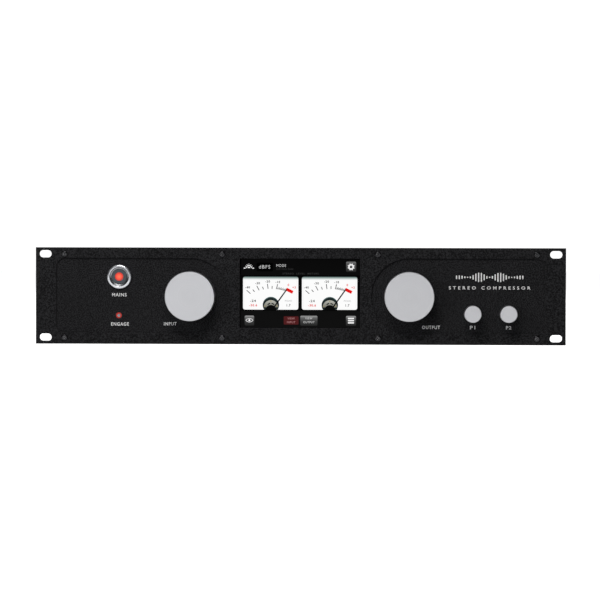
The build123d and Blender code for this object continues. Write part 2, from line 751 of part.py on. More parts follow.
def output_socket_pins():
    pins = []
    tail = REAR - XLR_BODY_DEPTH - CONTACT_TAIL
    for x in OUTPUT_X:
        for dx, dz in CONTACT_PLACES:
            pin = rod(x + dx, XLR_Z + dz, tail, XLR_FACE - PIN_SUNK, CONTACT_R)
            pins.append(fillet(pin.edges().group_by(Axis.Y)[-1], PIN_ROUND))
    return group(pins)


def socket_outline():
    """Mains inlet opening: a rectangle with its two upper corners cut."""
    outline = Rectangle(SOCKET_W, SOCKET_H)
    return chamfer(outline.vertices().group_by(Axis.Y)[-1], SOCKET_CUT)


def mains_inlet():
    flange = facing(Pos(INLET_X, 0) * RectangleRounded(INLET_W, INLET_H, 4.0), INLET_FACE, INLET_T)
    flange += block(*span(INLET_X, INLET_BODY_W), REAR - INLET_BODY_DEPTH, REAR, *span(0, INLET_BODY_H))
    well = Pos(INLET_X, SOCKET_Z) * socket_outline()
    flange -= facing(well, INLET_FACE + 1, SOCKET_DEPTH + 1)
    bay_x = span(INLET_X, DRAWER_W + DRAWER_PLAY)
    bay_z = span(DRAWER_Z, DRAWER_H + DRAWER_PLAY)
    flange -= block(*bay_x, INLET_FACE - DRAWER_DEPTH - DRAWER_PLAY, INLET_FACE + 1, *bay_z)
    for side in (-1, 1):
        flange -= rod(INLET_X + side * INLET_SCREW_X, 0, REAR - 1, INLET_FACE + 1, M3_R)
    for pin in inlet_pins():
        flange -= pin
    return flange


def inlet_pins():
    """Two line blades and the longer earth blade, each with its solder tab."""
    pins = []
    tail = REAR - INLET_BODY_DEPTH - BLADE_TAIL
    for dx, z in PIN_PLACES:
        lead = EARTH_LEAD if dx == 0 else 0.0
        tip = INLET_FACE - BLADE_SUNK + lead
        pins.append(block(*span(INLET_X + dx, BLADE_T), tail, tip, *span(z, BLADE_W)))
    return pins


def mains_inlet_pins():
    return group(inlet_pins())


def fuse_drawer():
    """Tray that holds the fuse across the inlet, with a finger ledge on its face."""
    z0, z1 = span(DRAWER_Z, DRAWER_H)
    x0, x1 = span(INLET_X, DRAWER_W)
    face = INLET_FACE + DRAWER_PROUD
    tray = block(x0, x1, INLET_FACE - DRAWER_DEPTH, face, z0, z1)
    tray += block(x0 + 4, x1 - 4, face, INLET_FACE + LEDGE_PROUD, z0 + 0.8, z0 + 2.6)
    bay_x = span(INLET_X, FUSE_LENGTH + 0.4)
    bay_y = span(FUSE_Y, 2 * FUSE_R + 0.4)
    return tray - block(*bay_x, *bay_y, FUSE_Z - FUSE_R, z1 + 1)  # open at the top


def fuse():
    """Glass tube fuse: two metal caps on a thinner tube."""
    tube = Rot(0, 90, 0) * Cylinder(FUSE_R - 0.25, FUSE_LENGTH - 2)
    for end in (-1, 1):
        tube += Pos(end * (FUSE_LENGTH - 5) / 2, 0, 0) * Rot(0, 90, 0) * Cylinder(FUSE_R, 5)
    return Pos(INLET_X, FUSE_Y, FUSE_Z) * tube


def usb_socket():
    """Square computer port: a metal shell round an opening with its tongue."""
    floor = REAR - USB_WELL
    shell = block(*span(USB_X, USB_W), REAR - USB_LENGTH, REAR + USB_PROUD, *span(XLR_Z, USB_H))
    shell -= block(*span(USB_X, 8.6), floor, REAR + 1, *span(XLR_Z, 7.9))
    return shell + block(*span(USB_X, 5.6), floor, REAR - USB_PROUD, *span(XLR_Z, 3.2))


# ---------------------------------------------------------------- inside

def corners_inset(x0, x1, y0, y1, inset=5.0):
    return [(x, y) for x in (x0 + inset, x1 - inset) for y in (y0 + inset, y1 - inset)]


def spacer_places():
    """Spacers under the two flat boards."""
    return corners_inset(*AUDIO_BOARD) + corners_inset(*SUPPLY_BOARD)


def board_standoffs():
    """Hex spacers under the flat boards and behind the display carrier."""
    spacer = extrude(hexagon(SPACER_AF), SPACER_H) - Pos(0, 0, -1) * extrude(Circle(M3_R), SPACER_H + 2)
    flat = [Pos(x, y, -INNER) * spacer for x, y in spacer_places()]
    upright = [Pos(x, CARRIER_BACK, z) * Rot(-90, 0, 0) * spacer for x, z in display_spacer_places()]
    return group(flat + upright)


def flat_board(outline):
    x0, x1, y0, y1 = outline
    pcb = block(x0, x1, y0, y1, BOARD_UNDER, BOARD_TOP)
    for x, y in corners_inset(*outline):
        pcb -= post(x, y, BOARD_UNDER - 1, BOARD_TOP + 1, M3_R)
    return pcb


def chip_rows():
    """Places of the amplifier chips on the audio board."""
    return [(x, y) for x in (30, 62, 94, 126) for y in (100, 122, 144)]


def audio_board():
    pcb = flat_board(AUDIO_BOARD)
    for x, y in chip_rows():
        pcb += block(*span(x, 10), *span(y, 6.4), BOARD_TOP, BOARD_TOP + 3.4)
    pcb += block(*span(DISPLAY_HEADER_X[1], HEADER_W), 60, 68, BOARD_TOP, PLUG_TOP)
    pcb += block(*span(POWER_PLUG_X, 8), *span(POWER_PLUG_Y, 16), BOARD_TOP, PLUG_TOP)
    return pcb + block(160, 188, 80, 108, BOARD_TOP, BOARD_TOP + 2.2)


def relays():
    cans = []
    for x in (30, 48, 66, 84, 120, 138, 156, 174):
        can = block(*span(x, 10), 176, 196, BOARD_TOP, BOARD_TOP + 10)
        cans.append(chamfer(can.edges().group_by(Axis.Z)[-1], 0.6))
    return group(cans)


def capacitor(x, y, r, height):
    can = post(x, y, BOARD_TOP, BOARD_TOP + height, r)
    return fillet(can.edges().group_by(Axis.Z)[-1], 0.8)


def capacitors():
    """Reservoir cans on the supply board and smaller ones on the audio board."""
    cans = [capacitor(x, y, 11.0, 30.0) for x in (-72, -44) for y in (80, 108, 136)]
    cans += [capacitor(x, y, 4.0, 11.5) for x in (46, 78, 110, 142) for y in (94, 111, 128, 145)]
    return group(cans)


def supply_board():
    pcb = flat_board(SUPPLY_BOARD)
    pcb += block(-80, -60, 160, 170, BOARD_TOP, PLUG_TOP)
    return pcb + block(-74, -46, 184, 194, BOARD_TOP, PLUG_TOP)


def heatsink():
    """Finned aluminium bar standing on the supply board."""
    y0, y1 = HEATSINK_Y
    sink = block(-22, -19, y0, y1, BOARD_TOP, BOARD_TOP + 40)
    for i in range(9):
        z = BOARD_TOP + 2 + i * 4.4
        sink += block(-19, -11, y0, y1, z, z + 1.4)
    return sink


def voltage_regulators():
    packs = []
    for y in (106, 126, 146, 166):
        pack = block(-26.5, -22, *span(y, 10), BOARD_TOP + 8, BOARD_TOP + 24)
        for lead in (-2.5, 0, 2.5):
            pack += block(-25, -24.2, *span(y + lead, 0.8), BOARD_TOP, BOARD_TOP + 8)
        packs.append(pack)
    return group(packs)


BOLT_R = 3.0
BOLT_HEAD_R = 6.0
BOLT_HEAD_H = 1.8
WINDING_Z0 = -INNER + PAD_T
WINDING_Z1 = WINDING_Z0 + TRANSFORMER_H
CLAMP_Z = WINDING_Z1 + PAD_T
CLAMP_TOP = CLAMP_Z + 1.6
BOLT_NUT_AF = 10.0
BOLT_NUT_T = 5.0
BOLT_END = 2.0


def ring_at(z0, z1, r_in, r_out):
    ring = post(TRANSFORMER_X, TRANSFORMER_Y, z0, z1, r_out)
    return ring - post(TRANSFORMER_X, TRANSFORMER_Y, z0 - 1, z1 + 1, r_in)


def transformer():
    """Toroidal mains transformer."""
    winding = ring_at(WINDING_Z0, WINDING_Z1, TRANSFORMER_BORE, TRANSFORMER_R)
    rims = winding.edges().filter_by(GeomType.CIRCLE)
    return fillet(rims, 7.0)


def transformer_pads():
    """Rubber discs under and over the winding."""
    low = ring_at(-INNER, WINDING_Z0, BOLT_R, TRANSFORMER_R - 6)
    return group([low, ring_at(WINDING_Z1, CLAMP_Z, BOLT_R, CLAMP_R + 6)])


def transformer_clamp():
    """Dished steel washer."""
    washer = ring_at(CLAMP_Z, CLAMP_TOP, BOLT_R, CLAMP_R)
    return chamfer(washer.edges().group_by(Axis.Z)[-1].sort_by(SortBy.LENGTH)[-1:], 1.0)


def sunk_bolt():
    head = sunk_cone(BOLT_R, BOLT_HEAD_R, BOLT_HEAD_H)
    return Pos(TRANSFORMER_X, TRANSFORMER_Y, -CHASSIS_HALF_H) * Rot(180, 0, 0) * head


def transformer_bolt():
    """Countersunk bolt through the bottom plate, with its nut."""
    low = -CHASSIS_HALF_H + 0.5
    top = CLAMP_TOP + BOLT_NUT_T + BOLT_END
    bolt = sunk_bolt() + post(TRANSFORMER_X, TRANSFORMER_Y, low, top, BOLT_R)
    ring = hexagon(BOLT_NUT_AF) - Circle(BOLT_R)
    nut = Pos(TRANSFORMER_X, TRANSFORMER_Y, CLAMP_TOP) * extrude(ring, BOLT_NUT_T)
    return group([bolt, nut])


def ribbon(points, width_axis, width, thickness=0.9):
    """A flat cable swept along a flat route, its width across that route."""
    path = FilletPolyline(*points, radius=3.0)
    start = Plane(origin=path @ 0, x_dir=width_axis, z_dir=path % 0)
    return sweep(start * Rectangle(width, thickness), path)


def ribbon_cables():
    """Control boards to the display board, and the display board to the audio board."""
    control = CONTROL_BOARD + BOARD_T + HEADER_H
    display = DISPLAY_BOARD + BOARD_T + HEADER_H
    level = 26.0
    ribbons = []
    for side, end_x in ((-1, DISPLAY_HEADER_X[0]), (1, DISPLAY_HEADER_X[2])):
        start_x = side * CONTROL_HEADER_X
        route = [(start_x, control), (start_x, level), (end_x, level), (end_x, display)]
        ribbons.append(ribbon([(x, y, HEADER_Z) for x, y in route], (0, 0, 1), 8.0))
    drop = [(display, HEADER_Z), (34, HEADER_Z), (34, -10), (64, -10), (64, PLUG_TOP)]
    ribbons.append(ribbon([(DISPLAY_HEADER_X[1], y, z) for y, z in drop], (1, 0, 0), 14.0))
    return group(ribbons)


def mains_leads():
    """From the inlet's line blades, along the left side plate, to the mains switch."""
    tab = REAR - INLET_BODY_DEPTH - BLADE_TAIL
    leads = []
    for way in (-1, 1):
        z = 6 + 3 * way
        start = (INLET_X + 7 * way, tab, PIN_PLACES[0][1])
        near_x = MAINS_X + 5 * way
        near_z = MAINS_Z - 4 * way
        route = [
            start, (start[0], tab - 10, start[2]), (-202, tab - 26, z), (-202, 70, z), (-196, 50, z + 3),
            (near_x, BARREL_BACK + 3 * TAB_LENGTH, near_z), (near_x, BARREL_BACK + TAB_LENGTH, near_z),
        ]
        leads.append(wire(route, 1.3))
    return leads


def secondary_leads():
    """From the top of the winding to the supply board, and from there to the audio board."""
    x = TRANSFORMER_X + 25.8
    y = TRANSFORMER_Y + 25.8
    over = WINDING_Z1 + 12
    winding_lead = [
        (x, y, WINDING_Z1), (x, y, over), (-94, 150, over + 2), (-70, 165, over), (-70, 165, PLUG_TOP),
    ]
    over = PLUG_TOP + 14
    board_lead = [
        (-55, 189, PLUG_TOP), (-55, 189, over), (-10, 193, over + 2), (POWER_PLUG_X, 180, over),
        (POWER_PLUG_X, POWER_PLUG_Y, over), (POWER_PLUG_X, POWER_PLUG_Y, PLUG_TOP),
    ]
    return [wire(winding_lead, 1.2), wire(board_lead, 1.2)]


def audio_leads():
    """Down from each audio connector to the audio board."""
    leads = []
    z = XLR_Z + CONTACT_PLACES[2][1]
    for x in INPUT_X + OUTPUT_X:
        end = REAR - XLR_BODY_DEPTH
        if x in OUTPUT_X:
            end -= CONTACT_TAIL
        route = [(x, end, z), (x, end - 7, z), (x + 3, end - 13, z - 9), (x + 3, end - 13, BOARD_TOP)]
        leads.append(wire(route, 1.1))
    return leads


def wiring_harness():
    return group(mains_leads() + secondary_leads() + audio_leads())


# ---------------------------------------------------------------- the assembly

def assembly():
    """Every node by name."""
    nodes = {
        "front_panel": front_panel(),
        "front_panel_screws": front_panel_screws(),
        "bottom_plate": bottom_plate(),
        "left_side_plate": side_plate(-1),
        "right_side_plate": side_plate(1),
        "rear_panel": rear_panel(),
        "top_cover": top_cover(),
        "casing_screws": casing_screws(),
        "rear_screws": rear_screws(),
        "display_glass": display_glass(),
        "display_panel": display_panel(),
        "display_frame": display_frame(),
        "display_board": display_board(),
        "mains_switch_body": mains_switch_body(),
        "mains_switch_nut": mains_switch_nut(),
        "mains_switch_plunger": mains_switch_plunger(),
        "mains_switch_lens": mains_switch_lens(),
        "engage_switch_body": engage_switch_body(),
        "engage_switch_cap": engage_switch_cap(),
        "engage_light_ring": engage_light_ring(),
        "encoder_nuts": encoder_nuts(),
        "left_control_board": left_control_board(),
        "right_control_board": right_control_board(),
        "audio_board": audio_board(),
        "board_standoffs": board_standoffs(),
        "relays": relays(),
        "capacitors": capacitors(),
        "supply_board": supply_board(),
        "heatsink": heatsink(),
        "voltage_regulators": voltage_regulators(),
        "transformer": transformer(),
        "transformer_pads": transformer_pads(),
        "transformer_clamp": transformer_clamp(),
        "transformer_bolt": transformer_bolt(),
        "mains_inlet": mains_inlet(),
        "mains_inlet_pins": mains_inlet_pins(),
        "fuse_drawer": fuse_drawer(),
        "fuse": fuse(),
        "input_sockets": group(piece for x in INPUT_X for piece in input_socket(x)),
        "output_sockets": group(output_socket(x) for x in OUTPUT_X),
        "output_socket_pins": output_socket_pins(),
        "usb_socket": usb_socket(),
        "ribbon_cables": ribbon_cables(),
        "wiring_harness": wiring_harness(),
    }
    for name, x in zip(("left", "right"), INPUT_X):
        nodes[f"{name}_input_latch"] = input_latch(x)
    for name, (x, z) in zip(("input", "output", "p1", "p2"), encoder_places()):
        nodes[f"{name}_encoder"] = encoder(x, z)
        if z == 0:
            nodes[f"{name}_encoder_shaft"] = encoder_shaft(x, z, BIG_SHAFT_FRONT)
            nodes[f"{name}_knob"] = big_knob(x)
            nodes[f"{name}_knob_set_screw"] = knob_set_screw(x)
        else:
            nodes[f"{name}_encoder_shaft"] = encoder_shaft(x, z, SMALL_SHAFT_FRONT)
            nodes[f"{name}_knob"] = small_knob(x)
    return nodes


os.makedirs("parts", exist_ok=True)
for node, shape in assembly().items():
    export_step(shape, f"parts/{node}.step")
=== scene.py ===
import json
from math import cos, pi, radians, sin

import bmesh
import bpy
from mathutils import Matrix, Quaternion, Vector
from mathutils.geometry import tessellate_polygon


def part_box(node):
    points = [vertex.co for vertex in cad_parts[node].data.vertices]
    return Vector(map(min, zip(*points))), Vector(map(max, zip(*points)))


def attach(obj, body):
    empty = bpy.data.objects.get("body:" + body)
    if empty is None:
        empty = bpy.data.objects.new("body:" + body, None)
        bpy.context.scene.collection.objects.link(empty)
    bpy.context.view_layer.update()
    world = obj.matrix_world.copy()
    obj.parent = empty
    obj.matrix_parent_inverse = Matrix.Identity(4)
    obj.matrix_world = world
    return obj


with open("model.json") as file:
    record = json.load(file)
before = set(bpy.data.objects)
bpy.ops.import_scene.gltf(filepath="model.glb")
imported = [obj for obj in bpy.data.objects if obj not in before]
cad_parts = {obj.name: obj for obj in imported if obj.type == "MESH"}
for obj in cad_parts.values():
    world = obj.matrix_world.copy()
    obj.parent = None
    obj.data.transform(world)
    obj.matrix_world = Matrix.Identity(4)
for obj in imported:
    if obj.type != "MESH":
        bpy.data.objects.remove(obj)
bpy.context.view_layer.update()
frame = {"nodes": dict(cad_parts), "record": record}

# The rack compressor's looks. Metres, in the CAD frame: +X right, +Y back, +Z up.
# Flat graphics are drawn in millimetres about a named centre and laid on a face.
MM = 0.001

panel_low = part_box("front_panel")[0]
PANEL_FRONT = panel_low.y
FIELD_DEPTH = 1.5 * MM
FIELD_FACE = PANEL_FRONT + FIELD_DEPTH
REAR_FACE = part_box("rear_panel")[1].y
INK = 0.03 * MM


def middle(name):
    """The centre of a CAD node's box."""
    low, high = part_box(name)
    return (low + high) / 2


# ---------------------------------------------------------------- camera, lights and stage

CAMERA_DISTANCE = 2.0
CAMERA_AZIMUTH = 1.9  # degrees to the right of the panel's centre
CAMERA_HEIGHT = 1.3  # degrees above the horizon
CAMERA_ROLL = 0.12
CAMERA_LENS = 131.9
STAGE_R = 7.0


def make_camera():
    """A long lens in front of the panel, a little above it and to the right."""
    camera = bpy.data.objects.new("camera", bpy.data.cameras.new("camera"))
    bpy.context.scene.collection.objects.link(camera)
    camera.data.lens = CAMERA_LENS
    camera.data.sensor_width = 36.0
    camera.data.clip_start = 0.05
    aim = Vector((0.15 * MM, PANEL_FRONT, -3.5 * MM))
    turn, tilt = radians(CAMERA_AZIMUTH), radians(CAMERA_HEIGHT)
    back = Vector((sin(turn) * cos(tilt), -cos(turn) * cos(tilt), sin(tilt)))
    camera.location = aim + back * CAMERA_DISTANCE
    camera.rotation_mode = "QUATERNION"
    roll = Quaternion((0, 0, 1), radians(CAMERA_ROLL))
    camera.rotation_quaternion = (-back).to_track_quat("-Z", "Y") @ roll
    bpy.context.scene.camera = camera


def area_light(name, place, aim, width, height, watts, colour, mirrored=True):
    """A soft box aimed at a point, which glossy surfaces mirror or not."""
    lamp = bpy.data.lights.new(name, "AREA")
    lamp.shape = "RECTANGLE"
    lamp.size = width
    lamp.size_y = height
    lamp.energy = watts
    lamp.color = colour
    light = bpy.data.objects.new(name, lamp)
    bpy.context.scene.collection.objects.link(light)
    light.visible_glossy = mirrored
    light.location = place
    light.rotation_euler = (Vector(aim) - Vector(place)).to_track_quat("-Z", "Y").to_euler()


def make_lights():
    """A soft key above, fills from the left and the front, a lamp for the back and a pale surround."""
    area_light("key", (-0.15, -0.85, 0.95), (0.0, 0.0, 0.0), 0.6, 0.4, 9.3, (1.0, 0.98, 0.96))
    area_light("side_fill", (-1.35, -1.6, 0.4), (-0.1, 0.0, 0.0), 0.8, 1.2, 9.5, (0.98, 0.99, 1.0), False)
    area_light("front_fill", (-1.0, -2.75, 0.2), (-0.1, 0.0, 0.0), 1.1, 1.6, 5.4, (0.97, 0.98, 1.0))
    area_light("back_fill", (0.7, 1.9, 1.3), (0.0, 0.1, 0.0), 1.4, 1.0, 26.0, (1.0, 1.0, 1.0))
    world = bpy.data.worlds.new("surround")
    bpy.context.scene.world = world
    world.use_nodes = True
    world.node_tree.nodes["Background"].inputs["Color"].default_value = (0.98, 0.99, 1.0, 1.0)
    world.node_tree.nodes["Background"].inputs["Strength"].default_value = 0.13
    bpy.context.scene.view_settings.view_transform = "Standard"


def turned_sheet(name, profile, filled, steps=48):
    """A sheet turned about the vertical axis, from (radius, height) points, its first ring filled or open."""
    mesh = bpy.data.meshes.new(name)
    made = bmesh.new()
    rings = []
    for radius, height in profile:
        turns = [2 * pi * step / steps for step in range(steps)]
        rings.append([made.verts.new((radius * cos(a), radius * sin(a), height)) for a in turns])
    for low, high in zip(rings, rings[1:]):
        for step in range(steps):
            after = (step + 1) % steps
            made.faces.new((low[step], low[after], high[after], high[step]))
    if filled:
        made.faces.new(rings[0])
    bmesh.ops.recalc_face_normals(made, faces=made.faces)
    made.to_mesh(mesh)
    made.free()
    mesh.shade_smooth()
    sheet = bpy.data.objects.new(name, mesh)
    bpy.context.scene.collection.objects.link(sheet)
    return sheet


def pale_paper(name, glow):
    """White paper, evenly lit."""
    made, tree, shader = new_material(name)
    shader.inputs["Roughness"].default_value = 0.9
    shader.inputs["Specular IOR Level"].default_value = 0.1
    shader.inputs["Emission Color"].default_value = (1.0, 1.0, 1.0, 1.0)
    shader.inputs["Emission Strength"].default_value = glow
    shade = blend(tree, noise(tree, place_of(tree), 1.5), (0.84, 0.84, 0.84, 1.0), (0.9, 0.9, 0.9, 1.0))
    tree.links.new(shade, shader.inputs["Base Color"])
    return made


def make_stage():
    """A round pale floor, and a far pale wall that only the camera sees."""
    floor_z = panel_low.z
    floor = turned_sheet("floor", [(1.0, floor_z), (STAGE_R, floor_z)], True)
    floor.data.materials.append(pale_paper("floor_paper", 0.9))
    floor.visible_diffuse = False
    wall = turned_sheet("backdrop", [(STAGE_R, floor_z), (STAGE_R, floor_z + STAGE_R)], False)
    wall.data.materials.append(pale_paper("backdrop_paper", 1.0))
    wall.visible_diffuse = False
    wall.visible_glossy = False
    wall.visible_shadow = False


# ---------------------------------------------------------------- shader nodes

def add(tree, kind, settings=None, **inputs):
    """A shader node with its inputs linked or set; an underscore in a name stands for a space."""
    made = tree.nodes.new("ShaderNode" + kind)
    for name, value in (settings or {}).items():
        setattr(made, name, value)
    for name, value in inputs.items():
        feed(tree, made.inputs[name.replace("_", " ")], value)
    return made


def feed(tree, socket, value):
    if isinstance(value, bpy.types.NodeSocket):
        tree.links.new(value, socket)
    else:
        socket.default_value = value


def place_of(tree):
    """Object coordinates, which are metres in the CAD frame at rest."""
    return add(tree, "TexCoord").outputs["Object"]


def calc(tree, operation, *values):
    """The result of a Math node."""
    made = add(tree, "Math", {"operation": operation})
    for socket, value in zip(made.inputs, values):
        feed(tree, socket, value)
    return made.outputs[0]


def blend(tree, share, first, second):
    """A colour between two colours."""
    made = add(tree, "Mix", {"data_type": "RGBA"})
    feed(tree, made.inputs[0], share)
    feed(tree, made.inputs[6], first)
    feed(tree, made.inputs[7], second)
    return made.outputs[2]


def ranged(tree, value, low, high, to_low, to_high):
    """A value moved from one range to another, clamped."""
    made = add(tree, "MapRange", Value=value)
    for name, limit in (("From Min", low), ("From Max", high), ("To Min", to_low), ("To Max", to_high)):
        feed(tree, made.inputs[name], limit)
    return made.outputs["Result"]


def rgba(colour, factor=1.0):
    return tuple(min(1.0, part * factor) for part in colour) + (1.0,)


def noise(tree, place, size, detail=3.0):
    """Noise whose lumps are about size millimetres across."""
    return add(tree, "TexNoise", Vector=place, Scale=1 / (size * MM), Detail=detail).outputs["Fac"]


def edges(tree, place, width):
    """1 along the convex edges and 0 elsewhere, broken up by noise; width in millimetres."""
    rounded = add(tree, "Bevel", {"samples": 4}, Radius=width * MM).outputs["Normal"]
    sharp = add(tree, "NewGeometry").outputs["Normal"]
    dot = add(tree, "VectorMath", {"operation": "DOT_PRODUCT"})
    tree.links.new(rounded, dot.inputs[0])
    tree.links.new(sharp, dot.inputs[1])
    bare = ranged(tree, dot.outputs["Value"], 0.99, 0.86, 0.0, 1.0)
    return calc(tree, "MULTIPLY", bare, ranged(tree, noise(tree, place, 3.0), 0.35, 0.65, 0.25, 1.0))


def new_material(name):
    made = bpy.data.materials.new(name)
    made.use_nodes = True
    return made, made.node_tree, made.node_tree.nodes["Principled BSDF"]


def roughen(tree, shader, place, grain, depth, height=None):
    """Bump of a given grain and depth, both in millimetres, from noise or from a height of its own."""
    lumps = noise(tree, place, grain) if height is None else height
    bump = add(tree, "Bump", Strength=1.0, Distance=depth * MM, Height=lumps)
    tree.links.new(bump.outputs["Normal"], shader.inputs["Normal"])


def surface(name, colour, rough, metal=0.0, grain=0.5, depth=0.004, tone=0.12, spread=0.06,
            level=0.5, wear_and_highlight=None, wear_and_highlight_width=0.35, coat=0.0):
    """A plain finish: mottled colour, uneven gloss, fine bump, and edges painted a second colour: rubbed
    edges on most finishes, a painted highlight on the black screw heads.
    """
    made, tree, shader = new_material(name)
    place = place_of(tree)
    fine = noise(tree, place, grain, 4.0)
    broad = noise(tree, place, 14.0 * grain)
    mottle = calc(tree, "ADD", calc(tree, "MULTIPLY", fine, 0.65), calc(tree, "MULTIPLY", broad, 0.35))
    mottle = ranged(tree, mottle, 0.35, 0.65, 0.0, 1.0)
    shade = blend(tree, mottle, rgba(colour, 1 - tone), rgba(colour, 1 + tone))
    # edge colour: rubbed edges on most finishes, a painted highlight on the black screws
    if wear_and_highlight:
        shade = blend(tree, edges(tree, place, wear_and_highlight_width), shade, rgba(wear_and_highlight))
    tree.links.new(shade, shader.inputs["Base Color"])
    gloss = ranged(tree, broad, 0.35, 0.65, rough - spread, rough + spread)
    tree.links.new(gloss, shader.inputs["Roughness"])
    shader.inputs["Metallic"].default_value = metal
    shader.inputs["Specular IOR Level"].default_value = level
    shader.inputs["Coat Weight"].default_value = coat
    roughen(tree, shader, place, grain, depth)
    return made


# ---------------------------------------------------------------- materials with a structure of their own

def powder_coat(name, colour, level, rough):
    """Fine textured black paint: round grains, a darker and lighter mottle, and thin lighter edges that are a
    painted highlight.
    """
    made, tree, shader = new_material(name)
    place = place_of(tree)
    grains = add(tree, "TexVoronoi", {"feature": "SMOOTH_F1"}, Vector=place, Scale=1 / (0.55 * MM))
    grains.inputs["Smoothness"].default_value = 0.6
    specks = noise(tree, place, 0.9, 2.0)
    clouds = noise(tree, place, 30.0)
    mottle = calc(tree, "ADD", calc(tree, "MULTIPLY", specks, 0.93), calc(tree, "MULTIPLY", clouds, 0.07))
    shade = blend(tree, ranged(tree, mottle, 0.42, 0.58, 0.0, 1.0), rgba(colour, 0.3), rgba(colour, 1.7))
    # painted highlight: thin lighter lines along the edges, where chamfers catch the light
    shade = blend(tree, edges(tree, place, 0.3), shade, rgba(colour, 2.2))
    tree.links.new(shade, shader.inputs["Base Color"])
    tree.links.new(ranged(tree, specks, 0.35, 0.65, rough - 0.07, rough + 0.07), shader.inputs["Roughness"])
    shader.inputs["Specular IOR Level"].default_value = level
    height = calc(tree, "ADD", grains.outputs["Distance"], calc(tree, "MULTIPLY", specks, 0.8))
    roughen(tree, shader, place, 0.5, 0.05, height)
    return made


def from_y_axis(tree, place, centre):
    """The distance from the Y axis through centre, and the place split into its axes."""
    axes = add(tree, "SeparateXYZ", Vector=place)
    across = calc(tree, "SUBTRACT", axes.outputs["X"], centre.x)
    upward = calc(tree, "SUBTRACT", axes.outputs["Z"], centre.z)
    across_squared = calc(tree, "MULTIPLY", across, across)
    upward_squared = calc(tree, "MULTIPLY", upward, upward)
    return calc(tree, "SQRT", calc(tree, "ADD", across_squared, upward_squared)), axes


def ringed_metal(name, centre, colour, rough, shade_bands):
    """Polished turned metal, painted lighter and darker in rings about a Y axis as painted highlight and
    painted shade: (radius in mm, shade).
    """
    made, tree, shader = new_material(name)
    place = place_of(tree)
    from_axis, axes = from_y_axis(tree, place, centre)
    reach = shade_bands[-1][0]
    # painted highlight and painted shade: each radius gets a lighter or darker colour
    ramp = add(tree, "ValToRGB", Fac=ranged(tree, from_axis, 0.0, reach * MM, 0.0, 1.0))
    for number, (radius, shade) in enumerate(shade_bands):
        at = radius / reach
        stop = ramp.color_ramp.elements[number] if number < 2 else ramp.color_ramp.elements.new(at)
        stop.position = at
        stop.color = rgba(colour, shade)
    ring_place = add(tree, "CombineXYZ", X=from_axis, Y=axes.outputs["Y"]).outputs["Vector"]
    rings = noise(tree, ring_place, 0.16, 2.0)
    shade = blend(tree, ranged(tree, rings, 0.4, 0.7, 0.0, 0.25), ramp.outputs["Color"], rgba(colour, 0.5))
    tree.links.new(shade, shader.inputs["Base Color"])
    smears = noise(tree, place, 2.0)
    tree.links.new(ranged(tree, smears, 0.35, 0.65, rough - 0.04, rough + 0.04), shader.inputs["Roughness"])
    shader.inputs["Metallic"].default_value = 1.0
    roughen(tree, shader, place, 0.3, 0.002, rings)
    return made


def turned_metal(name, centre, radius, chamfer, colour):
    """Satin turned aluminium: fine rings about a Y axis through centre, and a cut chamfer painted darker as
    painted shade.
    """
    made, tree, shader = new_material(name)
    place = place_of(tree)
    from_axis, axes = from_y_axis(tree, place, centre)
    ring_place = add(tree, "CombineXYZ", X=from_axis, Y=axes.outputs["Y"]).outputs["Vector"]
    rings = noise(tree, ring_place, 0.16, 2.0)
    wide_rings = noise(tree, ring_place, 1.6, 1.0)
    blast = noise(tree, place, 0.3, 2.0)
    rim = ranged(tree, from_axis, radius - chamfer - 0.02 * MM, radius - chamfer + 0.02 * MM, 0.0, 1.0)
    tones = calc(tree, "ADD", calc(tree, "MULTIPLY", rings, 0.8), calc(tree, "MULTIPLY", wide_rings, 0.2))
    shade = blend(tree, ranged(tree, tones, 0.3, 0.7, 0.0, 1.0), rgba(colour, 0.95), rgba(colour, 1.05))
    # painted shade: the chamfer and the knob's side are painted darker
    shade = blend(tree, rim, shade, rgba(colour, 0.65))
    tree.links.new(shade, shader.inputs["Base Color"])
    satin = ranged(tree, blast, 0.3, 0.7, 0.36, 0.46)
    cut = ranged(tree, rings, 0.3, 0.7, 0.3, 0.4)
    gloss = add(tree, "Mix", {"data_type": "FLOAT"})
    for socket, value in zip((gloss.inputs[0], gloss.inputs[2], gloss.inputs[3]), (rim, satin, cut)):
        tree.links.new(value, socket)
    tree.links.new(gloss.outputs[0], shader.inputs["Roughness"])
    shader.inputs["Metallic"].default_value = 1.0
    height = calc(tree, "ADD", calc(tree, "MULTIPLY", rings, 0.7), calc(tree, "MULTIPLY", blast, 0.3))
    roughen(tree, shader, place, 0.3, 0.003, height)
    return made


def circuit_board(name):
    """Green solder mask over a pattern of tracks, with pale specks of print and bare pads."""
    made, tree, shader = new_material(name)
    place = place_of(tree)
    tracks = add(tree, "TexBrick", Vector=place, Scale=1 / (9.0 * MM))
    tracks.inputs["Mortar Size"].default_value = 0.03
    tracks.inputs["Color1"].default_value = (0.012, 0.085, 0.035, 1.0)
    tracks.inputs["Color2"].default_value = (0.016, 0.11, 0.045, 1.0)
    tracks.inputs["Mortar"].default_value = (0.03, 0.19, 0.075, 1.0)
    cells = add(tree, "TexVoronoi", Vector=place, Scale=1 / (3.2 * MM)).outputs["Distance"]
    pads = ranged(tree, cells, 0.13, 0.1, 0.0, 1.0)
    shade = blend(tree, pads, tracks.outputs["Color"], (0.62, 0.6, 0.52, 1.0))
    print_specks = ranged(tree, noise(tree, place, 2.0), 0.66, 0.7, 0.0, 0.8)
    shade = blend(tree, print_specks, shade, (0.75, 0.77, 0.74, 1.0))
    tree.links.new(shade, shader.inputs["Base Color"])
    tree.links.new(ranged(tree, cells, 0.0, 0.6, 0.22, 0.42), shader.inputs["Roughness"])
    roughen(tree, shader, place, 0.5, 0.02, tracks.outputs["Fac"])
    return made


